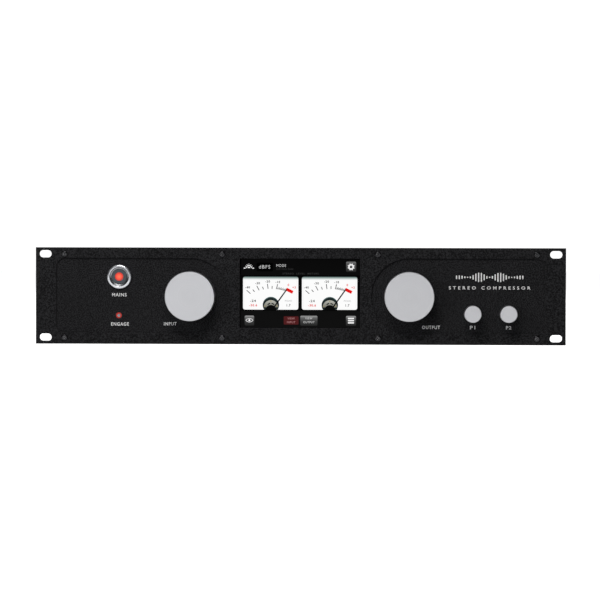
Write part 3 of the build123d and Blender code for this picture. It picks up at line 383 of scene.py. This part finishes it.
def wound_tape(name, centre):
    """Amber tape wrapped round a ring: overlapping turns that fan out from the ring's axis."""
    made, tree, shader = new_material(name)
    place = place_of(tree)
    axes = add(tree, "SeparateXYZ", Vector=place)
    across = calc(tree, "SUBTRACT", axes.outputs["X"], centre.x)
    along = calc(tree, "SUBTRACT", axes.outputs["Y"], centre.y)
    angle = calc(tree, "ARCTAN2", across, along)
    turns = calc(tree, "FRACT", calc(tree, "MULTIPLY", angle, TAPE_TURNS / (2 * pi)))
    uneven = noise(tree, place, 6.0)
    shade = blend(tree, turns, (0.30, 0.17, 0.03, 1.0), (0.55, 0.36, 0.08, 1.0))
    shade = blend(tree, ranged(tree, uneven, 0.4, 0.6, 0.0, 0.5), shade, (0.33, 0.2, 0.05, 1.0))
    tree.links.new(shade, shader.inputs["Base Color"])
    tree.links.new(ranged(tree, uneven, 0.3, 0.7, 0.2, 0.4), shader.inputs["Roughness"])
    roughen(tree, shader, place, 1.0, 0.12, turns)
    return made


def insulated_wires(name):
    """Each wire has one of the usual insulation colours, with a faint gloss and scuffs."""
    made, tree, shader = new_material(name)
    place = place_of(tree)
    pick = add(tree, "ValToRGB", Fac=add(tree, "NewGeometry").outputs["Random Per Island"])
    pick.color_ramp.interpolation = "CONSTANT"
    for number, colour in enumerate(WIRE_COLOURS):
        at = number / len(WIRE_COLOURS)
        stop = pick.color_ramp.elements[0] if number == 0 else pick.color_ramp.elements.new(at)
        stop.color = rgba(colour)
    pick.color_ramp.elements.remove(pick.color_ramp.elements[-1])
    scuffs = noise(tree, place, 1.5)
    scuffed = ranged(tree, scuffs, 0.55, 0.75, 0.0, 0.35)
    shade = blend(tree, scuffed, pick.outputs["Color"], (0.5, 0.5, 0.5, 1.0))
    tree.links.new(shade, shader.inputs["Base Color"])
    tree.links.new(ranged(tree, scuffs, 0.3, 0.7, 0.28, 0.45), shader.inputs["Roughness"])
    roughen(tree, shader, place, 0.4, 0.01)
    return made


def flat_cable(name):
    """Grey ribbon cable: ribs along the cable, painted darker in the grooves and lighter on the crests as
    painted shade and highlight, and slightly stained.
    """
    made, tree, shader = new_material(name)
    place = place_of(tree)
    across = add(tree, "SeparateXYZ", Vector=place).outputs["X"]
    ribs = calc(tree, "ABSOLUTE", calc(tree, "SINE", calc(tree, "MULTIPLY", across, pi / RIB_PITCH)))
    # painted shade in the grooves between wires and a painted highlight on their crests
    shade = blend(tree, ribs, (0.16, 0.16, 0.17, 1.0), (0.42, 0.42, 0.44, 1.0))
    stains = ranged(tree, noise(tree, place, 4.0), 0.4, 0.6, 0.0, 0.25)
    shade = blend(tree, stains, shade, (0.3, 0.3, 0.3, 1.0))
    tree.links.new(shade, shader.inputs["Base Color"])
    tree.links.new(ranged(tree, ribs, 0.0, 1.0, 0.6, 0.42), shader.inputs["Roughness"])
    roughen(tree, shader, place, 0.5, 0.25, ribs)
    return made


def screen_light(name, stops):
    """A lit part of the display: colours that change with height, over a grid of pixels.

    stops are (height from the screen's centre in mm, colour), from the lowest up.
    """
    made, tree, shader = new_material(name)
    place = place_of(tree)
    axes = add(tree, "SeparateXYZ", Vector=place)
    height = calc(tree, "SUBTRACT", axes.outputs["Z"], SCREEN.z)
    low, high = stops[0][0], stops[-1][0]
    ramp = add(tree, "ValToRGB", Fac=ranged(tree, height, low * MM, max(high, low + 1) * MM, 0.0, 1.0))
    for number, (level, colour) in enumerate(stops):
        at = (level - low) / max(high - low, 1)
        stop = ramp.color_ramp.elements[number] if number < 2 else ramp.color_ramp.elements.new(at)
        stop.position = at
        stop.color = rgba(colour)
    if len(stops) == 1:
        ramp.color_ramp.elements[1].color = rgba(stops[0][1])
    phase = calc(tree, "MULTIPLY", axes.outputs["X"], pi / PIXEL)
    columns = calc(tree, "ABSOLUTE", calc(tree, "SINE", phase))
    rows = calc(tree, "ABSOLUTE", calc(tree, "SINE", calc(tree, "MULTIPLY", height, pi / PIXEL)))
    dots = calc(tree, "MULTIPLY", columns, rows)
    dimmer = ranged(tree, dots, 0.0, 0.5, 0.93, 1.0)
    lit = add(tree, "VectorMath", {"operation": "SCALE"})
    tree.links.new(ramp.outputs["Color"], lit.inputs[0])
    tree.links.new(dimmer, lit.inputs["Scale"])
    tree.links.new(lit.outputs[0], shader.inputs["Emission Color"])
    shader.inputs["Emission Strength"].default_value = 1.0
    shader.inputs["Base Color"].default_value = (0.0, 0.0, 0.0, 1.0)
    shader.inputs["Specular IOR Level"].default_value = GLASS_LEVEL
    tree.links.new(ranged(tree, noise(tree, place, 20.0), 0.3, 0.7, 0.05, 0.09), shader.inputs["Roughness"])
    return made


def red_lens(name, centre, radius, brightness):
    """A lit lens, paler and more orange towards its middle, with a fine moulded texture."""
    made, tree, shader = new_material(name)
    place = place_of(tree)
    offset = add(tree, "VectorMath", {"operation": "DISTANCE"})
    tree.links.new(place, offset.inputs[0])
    offset.inputs[1].default_value = centre
    away = offset.outputs["Value"]
    glow = add(tree, "ValToRGB", Fac=ranged(tree, away, 0.0, radius, 0.0, 1.0))
    glow.color_ramp.elements[0].color = (1.0, 0.24, 0.09, 1.0)
    glow.color_ramp.elements[1].color = (0.35, 0.01, 0.008, 1.0)
    middle_stop = glow.color_ramp.elements.new(0.55)
    middle_stop.color = (0.95, 0.07, 0.03, 1.0)
    speckle = ranged(tree, noise(tree, place, 0.3), 0.3, 0.7, 0.9, 1.0)
    lit = add(tree, "VectorMath", {"operation": "SCALE"})
    tree.links.new(glow.outputs["Color"], lit.inputs[0])
    tree.links.new(speckle, lit.inputs["Scale"])
    tree.links.new(lit.outputs[0], shader.inputs["Emission Color"])
    shader.inputs["Emission Strength"].default_value = brightness
    shader.inputs["Base Color"].default_value = (0.3, 0.02, 0.01, 1.0)
    tree.links.new(ranged(tree, noise(tree, place, 1.0), 0.3, 0.7, 0.15, 0.3), shader.inputs["Roughness"])
    roughen(tree, shader, place, 0.4, 0.01)
    return made


SCREEN = middle("display_glass") + Vector((0.9 * MM, 0.0, 0.0))
SCREEN_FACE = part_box("display_glass")[0].y
PIXEL = 0.14 * MM
GLASS_LEVEL = 0.02
# painted shade and painted highlight on the switch bezel, as (radius in mm, shade): darker rings at the inner
# step and groove, lighter rings across the outer face
BEZEL_SHADE_BANDS = ((7.1, 0.5), (7.7, 0.65), (8.1, 0.15), (8.6, 0.15), (9.1, 1.2), (10.8, 1.25), (11.4, 0.9))
WHITE = (1.0, 1.0, 1.0)
TAPE_TURNS = 64
RIB_PITCH = 1.27 * MM
WIRE_COLOURS = ((0.02, 0.02, 0.022), (0.45, 0.02, 0.02), (0.02, 0.06, 0.4), (0.02, 0.25, 0.06),
                (0.5, 0.42, 0.03))


def make_materials():
    """One finish for each material slot of the record."""
    toroid = middle("transformer")
    lamp = middle("mains_switch_lens")
    ring = middle("engage_light_ring")
    lamp_radius = (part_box("mains_switch_lens")[1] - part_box("mains_switch_lens")[0]).x / 2
    ring_radius = (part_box("engage_light_ring")[1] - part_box("engage_light_ring")[0]).x / 2
    return {
        "panel_paint": powder_coat("panel_paint", (0.0155, 0.0155, 0.0167), 0.04, 0.55),
        "case_paint": powder_coat("case_paint", (0.017, 0.017, 0.018), 0.2, 0.52),
        # black_steel: its pale edges are a painted highlight on the rims and sockets of the screw heads
        "black_steel": surface("black_steel", (0.03, 0.03, 0.032), 0.24, 1.0, 0.2, 0.0015, 0.06, 0.02,
                               level=0.5, wear_and_highlight=(0.5, 0.5, 0.51), wear_and_highlight_width=0.24),
        "display_glass": surface("display_glass", (0.0006, 0.0006, 0.0007), 0.06, 0.0, 8.0, 0.0004,
                                 spread=0.02, level=GLASS_LEVEL),
        "display_black": surface("display_black", (0.004, 0.004, 0.005), 0.3, 0.0, 1.0, 0.002),
        "plain_aluminium": surface("plain_aluminium", (0.55, 0.55, 0.56), 0.38, 1.0, 0.4, 0.004,
                                   wear_and_highlight=(0.8, 0.8, 0.8)),
        "switch_chrome": ringed_metal("switch_chrome", lamp, (0.44, 0.45, 0.472), 0.3, BEZEL_SHADE_BANDS),
        "dark_metal": surface("dark_metal", (0.055, 0.066, 0.075), 0.34, 0.55, 0.2, 0.002,
                              wear_and_highlight=(0.2, 0.21, 0.22), wear_and_highlight_width=0.25),
        "red_lamp": red_lens("red_lamp", lamp, lamp_radius, 0.9),
        "red_ring": red_lens("red_ring", ring, 1.3 * ring_radius, 0.6),
        "steel": surface("steel", (0.2, 0.24, 0.27), 0.3, 1.0, 0.3, 0.003, wear_and_highlight=(0.7, 0.7, 0.72), wear_and_highlight_width=0.2),
        "set_screw_black": surface("set_screw_black", (0.03, 0.03, 0.032), 0.35, 0.8, 0.2, 0.002),
        "component_plastic": surface("component_plastic", (0.02, 0.02, 0.021), 0.45, 0.0, 0.4, 0.01,
                                     wear_and_highlight=(0.06, 0.06, 0.06)),
        "encoder_metal": surface("encoder_metal", (0.5, 0.5, 0.49), 0.3, 1.0, 0.5, 0.003,
                                 wear_and_highlight=(0.75, 0.75, 0.74)),
        "circuit_board": circuit_board("circuit_board"),
        "brass": surface("brass", (0.6, 0.45, 0.2), 0.28, 1.0, 0.3, 0.003, wear_and_highlight=(0.8, 0.65, 0.35)),
        "capacitor_sleeve": surface("capacitor_sleeve", (0.02, 0.03, 0.07), 0.25, 0.0, 2.0, 0.01,
                                    wear_and_highlight=(0.08, 0.1, 0.16), coat=0.4),
        "winding_tape": wound_tape("winding_tape", toroid),
        "pad_rubber": surface("pad_rubber", (0.018, 0.018, 0.018), 0.8, 0.0, 0.8, 0.03, 0.3),
        "inlet_plastic": surface("inlet_plastic", (0.014, 0.014, 0.015), 0.42, 0.0, 0.35, 0.012,
                                 wear_and_highlight=(0.05, 0.05, 0.05)),
        "pin_metal": surface("pin_metal", (0.66, 0.65, 0.62), 0.18, 1.0, 0.3, 0.001, 0.06, 0.04),
        "contact_gold": surface("contact_gold", (0.8, 0.56, 0.18), 0.2, 1.0, 0.3, 0.001, 0.08, 0.05),
        "fuse_glass": surface("fuse_glass", (0.6, 0.62, 0.62), 0.15, 0.7, 0.8, 0.001, 0.1, 0.05),
        "connector_metal": surface("connector_metal", (0.012, 0.012, 0.013), 0.3, 0.0, 0.5, 0.006,
                                   wear_and_highlight=(0.12, 0.12, 0.12), wear_and_highlight_width=0.3, coat=0.2),
        "latch_metal": surface("latch_metal", (0.45, 0.45, 0.46), 0.26, 1.0, 0.3, 0.003,
                               wear_and_highlight=(0.7, 0.7, 0.7)),
        "ribbon": flat_cable("ribbon"),
        "wire_sleeve": insulated_wires("wire_sleeve"),
    }


KNOB_CHAMFER = 0.5 * MM
KNOB_COLOUR = (0.505, 0.51, 0.53)


def dress_nodes(finishes):
    """Gives each CAD node the finish of its record slot; each knob has its own turning axis."""
    for part in frame["record"]["subparts"]:
        name = part["node"]
        if part["material_slot"] == "knob_aluminium":
            low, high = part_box(name)
            radius = (high - low).x / 2
            finish = turned_metal(name + "_metal", middle(name), radius, KNOB_CHAMFER, KNOB_COLOUR)
        else:
            finish = finishes[part["material_slot"]]
        mesh = frame["nodes"][name].data
        mesh.materials.clear()
        mesh.materials.append(finish)


# ---------------------------------------------------------------- flat shapes, in mm as (x, z)

def arc(x, z, radius, start, end, steps=24):
    """Points on an arc; angles in degrees, 0 to the right and 90 up."""
    angles = [radians(start + (end - start) * step / steps) for step in range(steps + 1)]
    return [(x + radius * cos(a), z + radius * sin(a)) for a in angles]


def disc(x, z, radius):
    return arc(x, z, radius, 0, 360, 48)[:-1]


def rounded(x0, x1, z0, z1, radius):
    """A rectangle with round corners."""
    corners = ((x1 - radius, z1 - radius, 0), (x0 + radius, z1 - radius, 90),
               (x0 + radius, z0 + radius, 180), (x1 - radius, z0 + radius, 270))
    return [point for x, z, start in corners for point in arc(x, z, radius, start, start + 90, 6)]


def sector(x, z, inner, outer, start, end, steps=24):
    """A band between two radii."""
    return arc(x, z, outer, start, end, steps) + arc(x, z, inner, end, start, steps)


def bar(start, end, width, tip=None):
    """A straight bar between two points, tapering to the tip's width if one is given."""
    run = Vector(end) - Vector(start)
    side = Vector((-run.y, run.x)).normalized()
    wide, narrow = side * width / 2, side * (tip or width) / 2
    return [tuple(Vector(start) - wide), tuple(Vector(end) - narrow),
            tuple(Vector(end) + narrow), tuple(Vector(start) + wide)]


def gear_outline(x, z, radius, teeth):
    """A gear with blunt teeth."""
    points = []
    for tooth in range(teeth):
        for share, reach in ((0.0, 0.76), (0.2, 0.76), (0.3, 1.0), (0.7, 1.0), (0.8, 0.76)):
            angle = 2 * pi * (tooth + share) / teeth
            points.append((x + radius * reach * cos(angle), z + radius * reach * sin(angle)))
    return points


def plate(name, outlines, centre, face, thickness, material, body="case", way=-1):
    """A thin piece made of outlines drawn about centre, standing out from a face.

    Each outline is a list of loops: the rim and any holes. way is -1 on a face that looks to the
    front and 1 on one that looks to the back, where the drawing is as seen from behind.
    """
    mesh = bpy.data.meshes.new(name)
    made = bmesh.new()
    for loops in outlines:
        corners = [Vector((x, z, 0.0)) for loop in loops for x, z in loop]
        triangles = tessellate_polygon([[Vector((x, z, 0.0)) for x, z in loop] for loop in loops])
        layers = []
        for depth in (0.0, thickness):
            y = face + way * depth
            places = [(centre.x - way * p.x * MM, y, centre.z + p.y * MM) for p in corners]
            layers.append([made.verts.new(place) for place in places])
        for layer in layers:
            for triangle in triangles:
                made.faces.new([layer[index] for index in triangle])
        first = 0
        for loop in loops:
            for step in range(len(loop)):
                a, b = first + step, first + (step + 1) % len(loop)
                made.faces.new((layers[0][a], layers[0][b], layers[1][b], layers[1][a]))
            first += len(loop)
    bmesh.ops.recalc_face_normals(made, faces=made.faces)
    made.to_mesh(mesh)
    made.free()
    return settle(name, mesh, material, body)


def settle(name, mesh, material, body="case"):
    """Links a finished mesh, gives it its material and slot, and lets it ride on its body."""
    piece = bpy.data.objects.new(name, mesh)
    bpy.context.scene.collection.objects.link(piece)
    mesh.materials.clear()
    mesh.materials.append(material)
    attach(piece, body)
    return piece


def lettering(name, words, centre, face, thickness, material, way=-1, tracking=1.2, weight=0.016):
    """Raised words in one piece; each word is (text, x, z, width, cap height) in mm about centre."""
    joined = bmesh.new()
    for text, x, z, width, cap in words:
        curve = bpy.data.curves.new(name, "FONT")
        curve.body = text
        curve.resolution_u = 3
        curve.extrude = 0.5
        curve.offset = weight
        curve.space_character = tracking
        maker = bpy.data.objects.new(name, curve)
        bpy.context.scene.collection.objects.link(maker)
        bpy.context.view_layer.update()
        mesh = bpy.data.meshes.new_from_object(maker)
        bpy.data.objects.remove(maker)
        bpy.data.curves.remove(curve)
        low = Vector([min(v.co[axis] for v in mesh.vertices) for axis in range(3)])
        high = Vector([max(v.co[axis] for v in mesh.vertices) for axis in range(3)])
        size = high - low
        for v in mesh.vertices:
            share = [(v.co[axis] - low[axis]) / size[axis] for axis in range(3)]
            across = (x + (share[0] - 0.5) * width) * MM
            v.co = (centre.x - way * across, face + way * share[2] * thickness,
                    centre.z + (z + (share[1] - 0.5) * cap) * MM)
        joined.from_mesh(mesh)
        bpy.data.meshes.remove(mesh)
    bmesh.ops.remove_doubles(joined, verts=joined.verts, dist=0.0004 * MM)
    bmesh.ops.recalc_face_normals(joined, faces=joined.faces)
    mesh = bpy.data.meshes.new(name)
    joined.to_mesh(mesh)
    joined.free()
    return settle(name, mesh, material)


# ---------------------------------------------------------------- print on the panels

ORIGIN = Vector((0.0, 0.0, 0.0))
NAME_CAP = 3.1  # the control names' height in mm
EMBLEM_BARS = 25
EMBLEM_PITCH = 2.5


def printed_ink():
    """Screen-printed white ink, slightly uneven."""
    return surface("white_ink", (0.9, 0.9, 0.9), 0.5, 0.0, 0.25, 0.004, 0.1, 0.08, level=0.4)


def front_print(ink):
    """The control names, and a plain level-bar emblem with a descriptive line."""
    mains, engage = middle("mains_switch_body"), middle("engage_light_ring")
    words = [("MAINS", mains.x / MM, mains.z / MM - 16.6, 13.2, NAME_CAP),
             ("ENGAGE", engage.x / MM + 1.0, engage.z / MM - 7.9, 16.3, NAME_CAP)]
    for name, text, across, down, width in (("input_knob", "INPUT", -19.0, 25.6, 11.5),
                                            ("output_knob", "OUTPUT", 20.0, 28.1, 16.3),
                                            ("p1_knob", "P1", 0.4, 12.7, 4.8),
                                            ("p2_knob", "P2", 0.9, 12.7, 4.8)):
        knob = middle(name)
        words.append((text, knob.x / MM + across, knob.z / MM - down, width, NAME_CAP))
    lettering("control_names", words, ORIGIN, FIELD_FACE, INK, ink)
    between = (middle("p1_knob") + middle("p2_knob")) / 2
    emblem = Vector((between.x - 0.4 * MM, 0.0, between.z + 33.0 * MM))
    bars = []
    for number in range(EMBLEM_BARS):
        across = (number - (EMBLEM_BARS - 1) / 2) * EMBLEM_PITCH
        swing = 0.5 + 0.5 * cos(2 * pi * number / 8.0)
        height = 1.2 + 10.0 * swing * (1.0 - abs(across) / 38.0)
        bars.append([rounded(across - 0.55, across + 0.55, -height / 2, height / 2, 0.5)])
    plate("emblem_bars", bars, emblem, FIELD_FACE, INK, ink)
    line = [("STEREO COMPRESSOR", 0.0, -9.6, 74.0, 2.9)]
    lettering("emblem_line", line, emblem, FIELD_FACE, INK, ink, tracking=1.75)


def rear_print(ink):
    """The names of the rear connectors, and a thin border round each pair of audio sockets."""
    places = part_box("input_sockets"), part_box("output_sockets")
    words = []
    for (low, high), text in zip(places, ("INPUT", "OUTPUT")):
        words.append((text, -(low + high).x / 2 / MM, low.z / MM - 6.5, 3.4 * len(text), 3.2))
        for x, side in ((low.x + 13.0 * MM, "R"), (high.x - 13.0 * MM, "L")):
            words.append((side, -x / MM, high.z / MM + 5.0, 2.4, 3.2))
    usb_low, usb_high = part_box("usb_socket")
    words.append(("USB", -(usb_low + usb_high).x / 2 / MM, usb_low.z / MM - 5.5, 8.0, 2.8))
    inlet_low, inlet_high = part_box("mains_inlet")
    inlet = (inlet_low + inlet_high) / 2
    words.append(("MAINS", -inlet.x / MM, inlet_high.z / MM + 6.0, 15.0, 3.0))
    lettering("connector_names", words, ORIGIN, REAR_FACE, INK, ink, way=1)
    lines = []
    for low, high in places:
        x0, x1 = -high.x / MM - 4.0, -low.x / MM + 4.0
        z0, z1 = low.z / MM - 2.6, high.z / MM + 8.6
        lines.append([rounded(x0, x1, z0, z1, 3.0), rounded(x0 + 0.5, x1 - 0.5, z0 + 0.5, z1 - 0.5, 2.5)])
    plate("connector_borders", lines, ORIGIN, REAR_FACE, INK, ink, way=1)


# ---------------------------------------------------------------- the display, in mm about its centre

LAYER = 0.03 * MM
METER_HALF_W = 25.2
METER_LOW, METER_HIGH = -14.9, 15.2
METER_MIDDLES = (-27.55, 26.1)
PIVOT = (0.35, -16.7)
SCALE_CENTRE = (0.35, -38.0)
SCALE_R = 42.1
BOLD = 0.025
TOP_BUTTONS = (19.6, 28.9)  # the lower and upper edges of each row of buttons
LOW_BUTTONS = (-29.5, -20.4)


def screen_plate(name, outlines, layer, material, shift=0.0):
    centre = SCREEN + Vector((shift * MM, 0.0, 0.0))
    face = SCREEN_FACE - layer * LAYER
    return plate(name, outlines, centre, face, 0.8 * LAYER, material)


def screen_text(name, words, layer, material, shift=0.0, weight=0.01):
    centre = SCREEN + Vector((shift * MM, 0.0, 0.0))
    face = SCREEN_FACE - layer * LAYER
    return lettering(name, words, centre, face, 0.8 * LAYER, material, weight=weight)


def on_scale(across, outward):
    """A point outward of the meter's scale line, seen from its pivot, at a distance across from it."""
    down = (SCALE_R ** 2 - across ** 2) ** 0.5
    start = Vector((SCALE_CENTRE[0] + across, SCALE_CENTRE[1] + down))
    away = (start - Vector(PIVOT)).normalized()
    return tuple(start + away * outward)


def meter(side, shift, lights):
    """One needle meter: dial, scale, numbers, needle and movement."""
    dial = rounded(-METER_HALF_W, METER_HALF_W, METER_LOW, METER_HIGH, 2.0)
    screen_plate(f"{side}_meter_dial", [[dial]], 1, lights["dial"], shift)
    edge_lines = [[bar((x, METER_LOW + 2), (x, METER_HIGH - 3), 0.12)] for x in (-23.6, 23.6)]
    screen_plate(f"{side}_meter_edge_lines", edge_lines, 2, lights["faint_line"], shift)

    marks = []
    for number, across in enumerate((-18.8, -15.0, -10.8, -6.9, -2.7, 0.9, 4.9)):
        length = 4.6 if number % 2 == 0 else 2.6
        marks.append([bar(on_scale(across, 0.0), on_scale(across, length), 0.66)])
    for number in range(9):
        across = 5.9 + 0.85 * number
        marks.append([bar(on_scale(across, 0.0), on_scale(across, 2.3 if number % 2 else 1.6), 0.5)])
    screen_plate(f"{side}_meter_marks", marks, 2, lights["mark"], shift)
    screen_plate(f"{side}_meter_red_zone", [[bar((14.1, 3.9), (20.2, 0.9), 2.8)]], 2, lights["red"], shift)

    numbers = [("-40", -21.05, 5.4, 4.3, 2.1), ("-30", -11.95, 9.2, 4.3, 2.1),
               ("-20", -2.75, 10.8, 4.3, 2.1), ("-10", 6.45, 10.3, 4.3, 2.1),
               ("1.7", 16.35, -10.9, 3.6, 2.2)]
    screen_text(f"{side}_meter_numbers", numbers, 2, lights["number"], shift, BOLD)
    red_numbers = [("0", 16.15, 7.7, 1.4, 2.1), ("+3", 21.3, 5.4, 3.0, 2.1),
                   ("-30.6", -15.95, -10.9, 7.2, 2.2)]
    screen_text(f"{side}_meter_red_numbers", red_numbers, 2, lights["red"], shift, BOLD)
    screen_text(f"{side}_meter_reading", [("-24", -16.05, -6.9, 5.2, 2.2)], 2, lights["black"], shift, BOLD)
    screen_text(f"{side}_meter_unit", [("PEAK", 16.35, -6.8, 6.6, 1.6)], 2, lights["pale"], shift)

    hub_x, hub_z, hub_r = 0.25, -10.7, 7.5
    dip = 34.0
    case_edge = arc(hub_x, hub_z, hub_r, -dip, 180 + dip, 40)
    screen_plate(f"{side}_meter_hub", [[case_edge]], 2, lights["hub"], shift)
    cap = sector(hub_x, hub_z, hub_r - 0.7, hub_r, 40, 140)
    screen_plate(f"{side}_meter_hub_rim", [[cap]], 3, lights["hub_rim"], shift)
    yoke_z = hub_z - 2.0
    arch = sector(hub_x, yoke_z, 0.8, 6.5, 0, 180)
    rivets = [[disc(hub_x + 5.6 * cos(a), yoke_z + 5.6 * sin(a), 0.5)]
              for a in (radians(12), radians(90), radians(168))]
    screen_plate(f"{side}_meter_arch", [[arch]], 3, lights["arch"], shift)
    screen_plate(f"{side}_meter_rivets", rivets, 4, lights["brass"], shift)
    coil = [[sector(hub_x, yoke_z, 3.1, 4.2, start, start + 44, 12)] for start in (38, 98)]
    screen_plate(f"{side}_meter_coil", coil, 4, lights["mark"], shift)
    mound = arc(hub_x, -15.6, 5.0, 8, 172)
    screen_plate(f"{side}_meter_mound", [[mound]], 4, lights["black"], shift)
    needle = [[bar((2.6, -13.3), (13.9, 2.5), 1.3, 1.1)], [bar((13.1, 1.4), (14.75, 3.75), 1.2, 0.9)]]
    screen_plate(f"{side}_meter_needle", needle, 5, lights["black"], shift)


def screen_colours():
    """The lit colours of the display's picture."""
    flat = {
        "bar": (0.0028, 0.0028, 0.0028), "faint_line": (0.78, 0.74, 0.72), "mark": (0.02, 0.02, 0.02),
        "red": (0.78, 0.008, 0.008), "number": (0.02, 0.02, 0.02), "black": (0.001, 0.001, 0.001),
        "pale": (0.5, 0.5, 0.5), "hub": (0.012, 0.02, 0.02), "hub_rim": (0.05, 0.11, 0.11),
        "brass": (0.35, 0.27, 0.08), "white": (0.9, 0.9, 0.9), "dim": (0.035, 0.035, 0.035),
        "box": (0.0, 0.0, 0.0), "light_text": (0.62, 0.62, 0.62), "pink_text": (0.42, 0.2, 0.2),
        "red_button": (0.08, 0.011, 0.012),
    }
    made = {name: screen_light("screen_" + name, [(0.0, colour)]) for name, colour in flat.items()}
    made["dial"] = screen_light("screen_dial", [
        (METER_LOW, WHITE), (METER_HIGH - 3.0, WHITE), (METER_HIGH - 1.3, (0.4, 0.48, 0.46)),
        (METER_HIGH, (0.05, 0.1, 0.095))])
    made["arch"] = screen_light("screen_arch", [(-12.0, (0.2, 0.2, 0.17)), (-6.0, (0.5, 0.5, 0.45))])
    made["top_button"] = screen_light("screen_top_button", [
        (TOP_BUTTONS[0], (0.014, 0.014, 0.014)), (27.6, (0.11, 0.11, 0.11)),
        (TOP_BUTTONS[1], (0.2, 0.2, 0.2))])
    made["low_button"] = screen_light("screen_low_button", [
        (LOW_BUTTONS[0], (0.014, 0.014, 0.014)), (-25.2, (0.05, 0.05, 0.05)), (-22.2, (0.13, 0.13, 0.13)),
        (LOW_BUTTONS[1], (0.34, 0.34, 0.34))])
    return made


def gauge_sign(x, z):
    """A half-round gauge: a dial with a cut-out arc, dashes above it and a foot below."""
    half = sector(x, z, 2.0, 2.7, 0, 180)
    core = sector(x, z, 0.1, 1.2, 0, 180, 12)
    dashes = [sector(x, z, 3.3, 3.8, start, start + 10, 6) for start in (25, 55, 85, 115, 145)]
    feet = [rounded(x + side * 3.9 - 0.8, x + side * 3.9 + 0.8, z - 0.6, z + 0.3, 0.2) for side in (-1, 1)]
    return [[loop] for loop in (half, core, *dashes, *feet)]


def eye_sign(x, z):
    """An eye: two arcs round a pupil."""
    lid_r, lid_angle = 4.3, 55.0
    drop = lid_r * cos(radians(lid_angle))
    upper = sector(x, z - drop, lid_r - 0.45, lid_r, 90 - lid_angle, 90 + lid_angle)
    lower = sector(x, z + drop, lid_r - 0.45, lid_r, 270 - lid_angle, 270 + lid_angle)
    return [[upper], [lower], [disc(x, z, 0.95)]]


def display_picture():
    lights = screen_colours()
    bars = [[rounded(-54.4, 54.4, 16.6, 31.1, 0.3)], [rounded(-54.4, 54.4, -31.1, -16.1, 0.3)]]
    screen_plate("screen_bars", bars, 0, lights["bar"])
    for side, shift in zip(("left", "right"), METER_MIDDLES):
        meter(side, shift, lights)

    screen_plate("unit_box", [[rounded(-40.4, -25.6, 20.0, 27.8, 0.8)]], 1, lights["box"])
    screen_text("unit_text", [("dBFS", -33.1, 24.1, 10.2, 3.2)], 2, lights["light_text"], weight=0.0)
    screen_plate("gauge_sign", gauge_sign(-47.4, 23.0), 1, lights["white"])
    screen_text("mode_text", [("MODE", -18.0, 25.3, 8.8, 2.4)], 1, lights["light_text"], weight=0.0)
    dim = [("soft limit knee", -14.8, 22.3, 15.4, 1.7), ("STEREO  LEVEL  METERS", -0.3, 18.0, 33.0, 1.5)]
    screen_text("dim_text", dim, 1, lights["dim"])

    screen_plate("settings_button", [[rounded(41.1, 50.2, *TOP_BUTTONS, 1.1)]], 1, lights["top_button"])
    gear = [gear_outline(45.65, 24.2, 3.2, 8), disc(45.65, 24.2, 1.25)]
    screen_plate("gear_sign", [gear], 2, lights["white"])

    ends = ((-51.2, -42.6), (-0.45, 15.1), (41.1, 50.2))
    low_buttons = [[rounded(left, right, *LOW_BUTTONS, 1.1)] for left, right in ends]
    screen_plate("low_buttons", low_buttons, 1, lights["low_button"])
    screen_plate("input_button", [[rounded(-15.6, -2.1, -28.4, -20.9, 0.8)]], 1, lights["red_button"])
    screen_plate("eye_sign", eye_sign(-46.9, -24.6), 2, lights["white"])
    menu = [[rounded(42.9, 48.4, z - 0.62, z + 0.62, 0.2)] for z in (-22.7, -24.7, -26.7)]
    screen_plate("menu_sign", menu, 2, lights["white"])
    view_in = [("VIEW", -8.85, -22.9, 6.6, 1.8), ("INPUT", -8.85, -26.3, 7.6, 1.8)]
    screen_text("input_button_text", view_in, 2, lights["pink_text"])
    view_out = [("VIEW", 7.3, -22.7, 6.6, 1.8), ("OUTPUT", 7.3, -26.2, 10.2, 1.8)]
    screen_text("output_button_text", view_out, 2, lights["light_text"])


# ---------------------------------------------------------------- the object

make_camera()
make_lights()
make_stage()
dress_nodes(make_materials())
white_ink = printed_ink()
front_print(white_ink)
rear_print(white_ink)
display_picture()
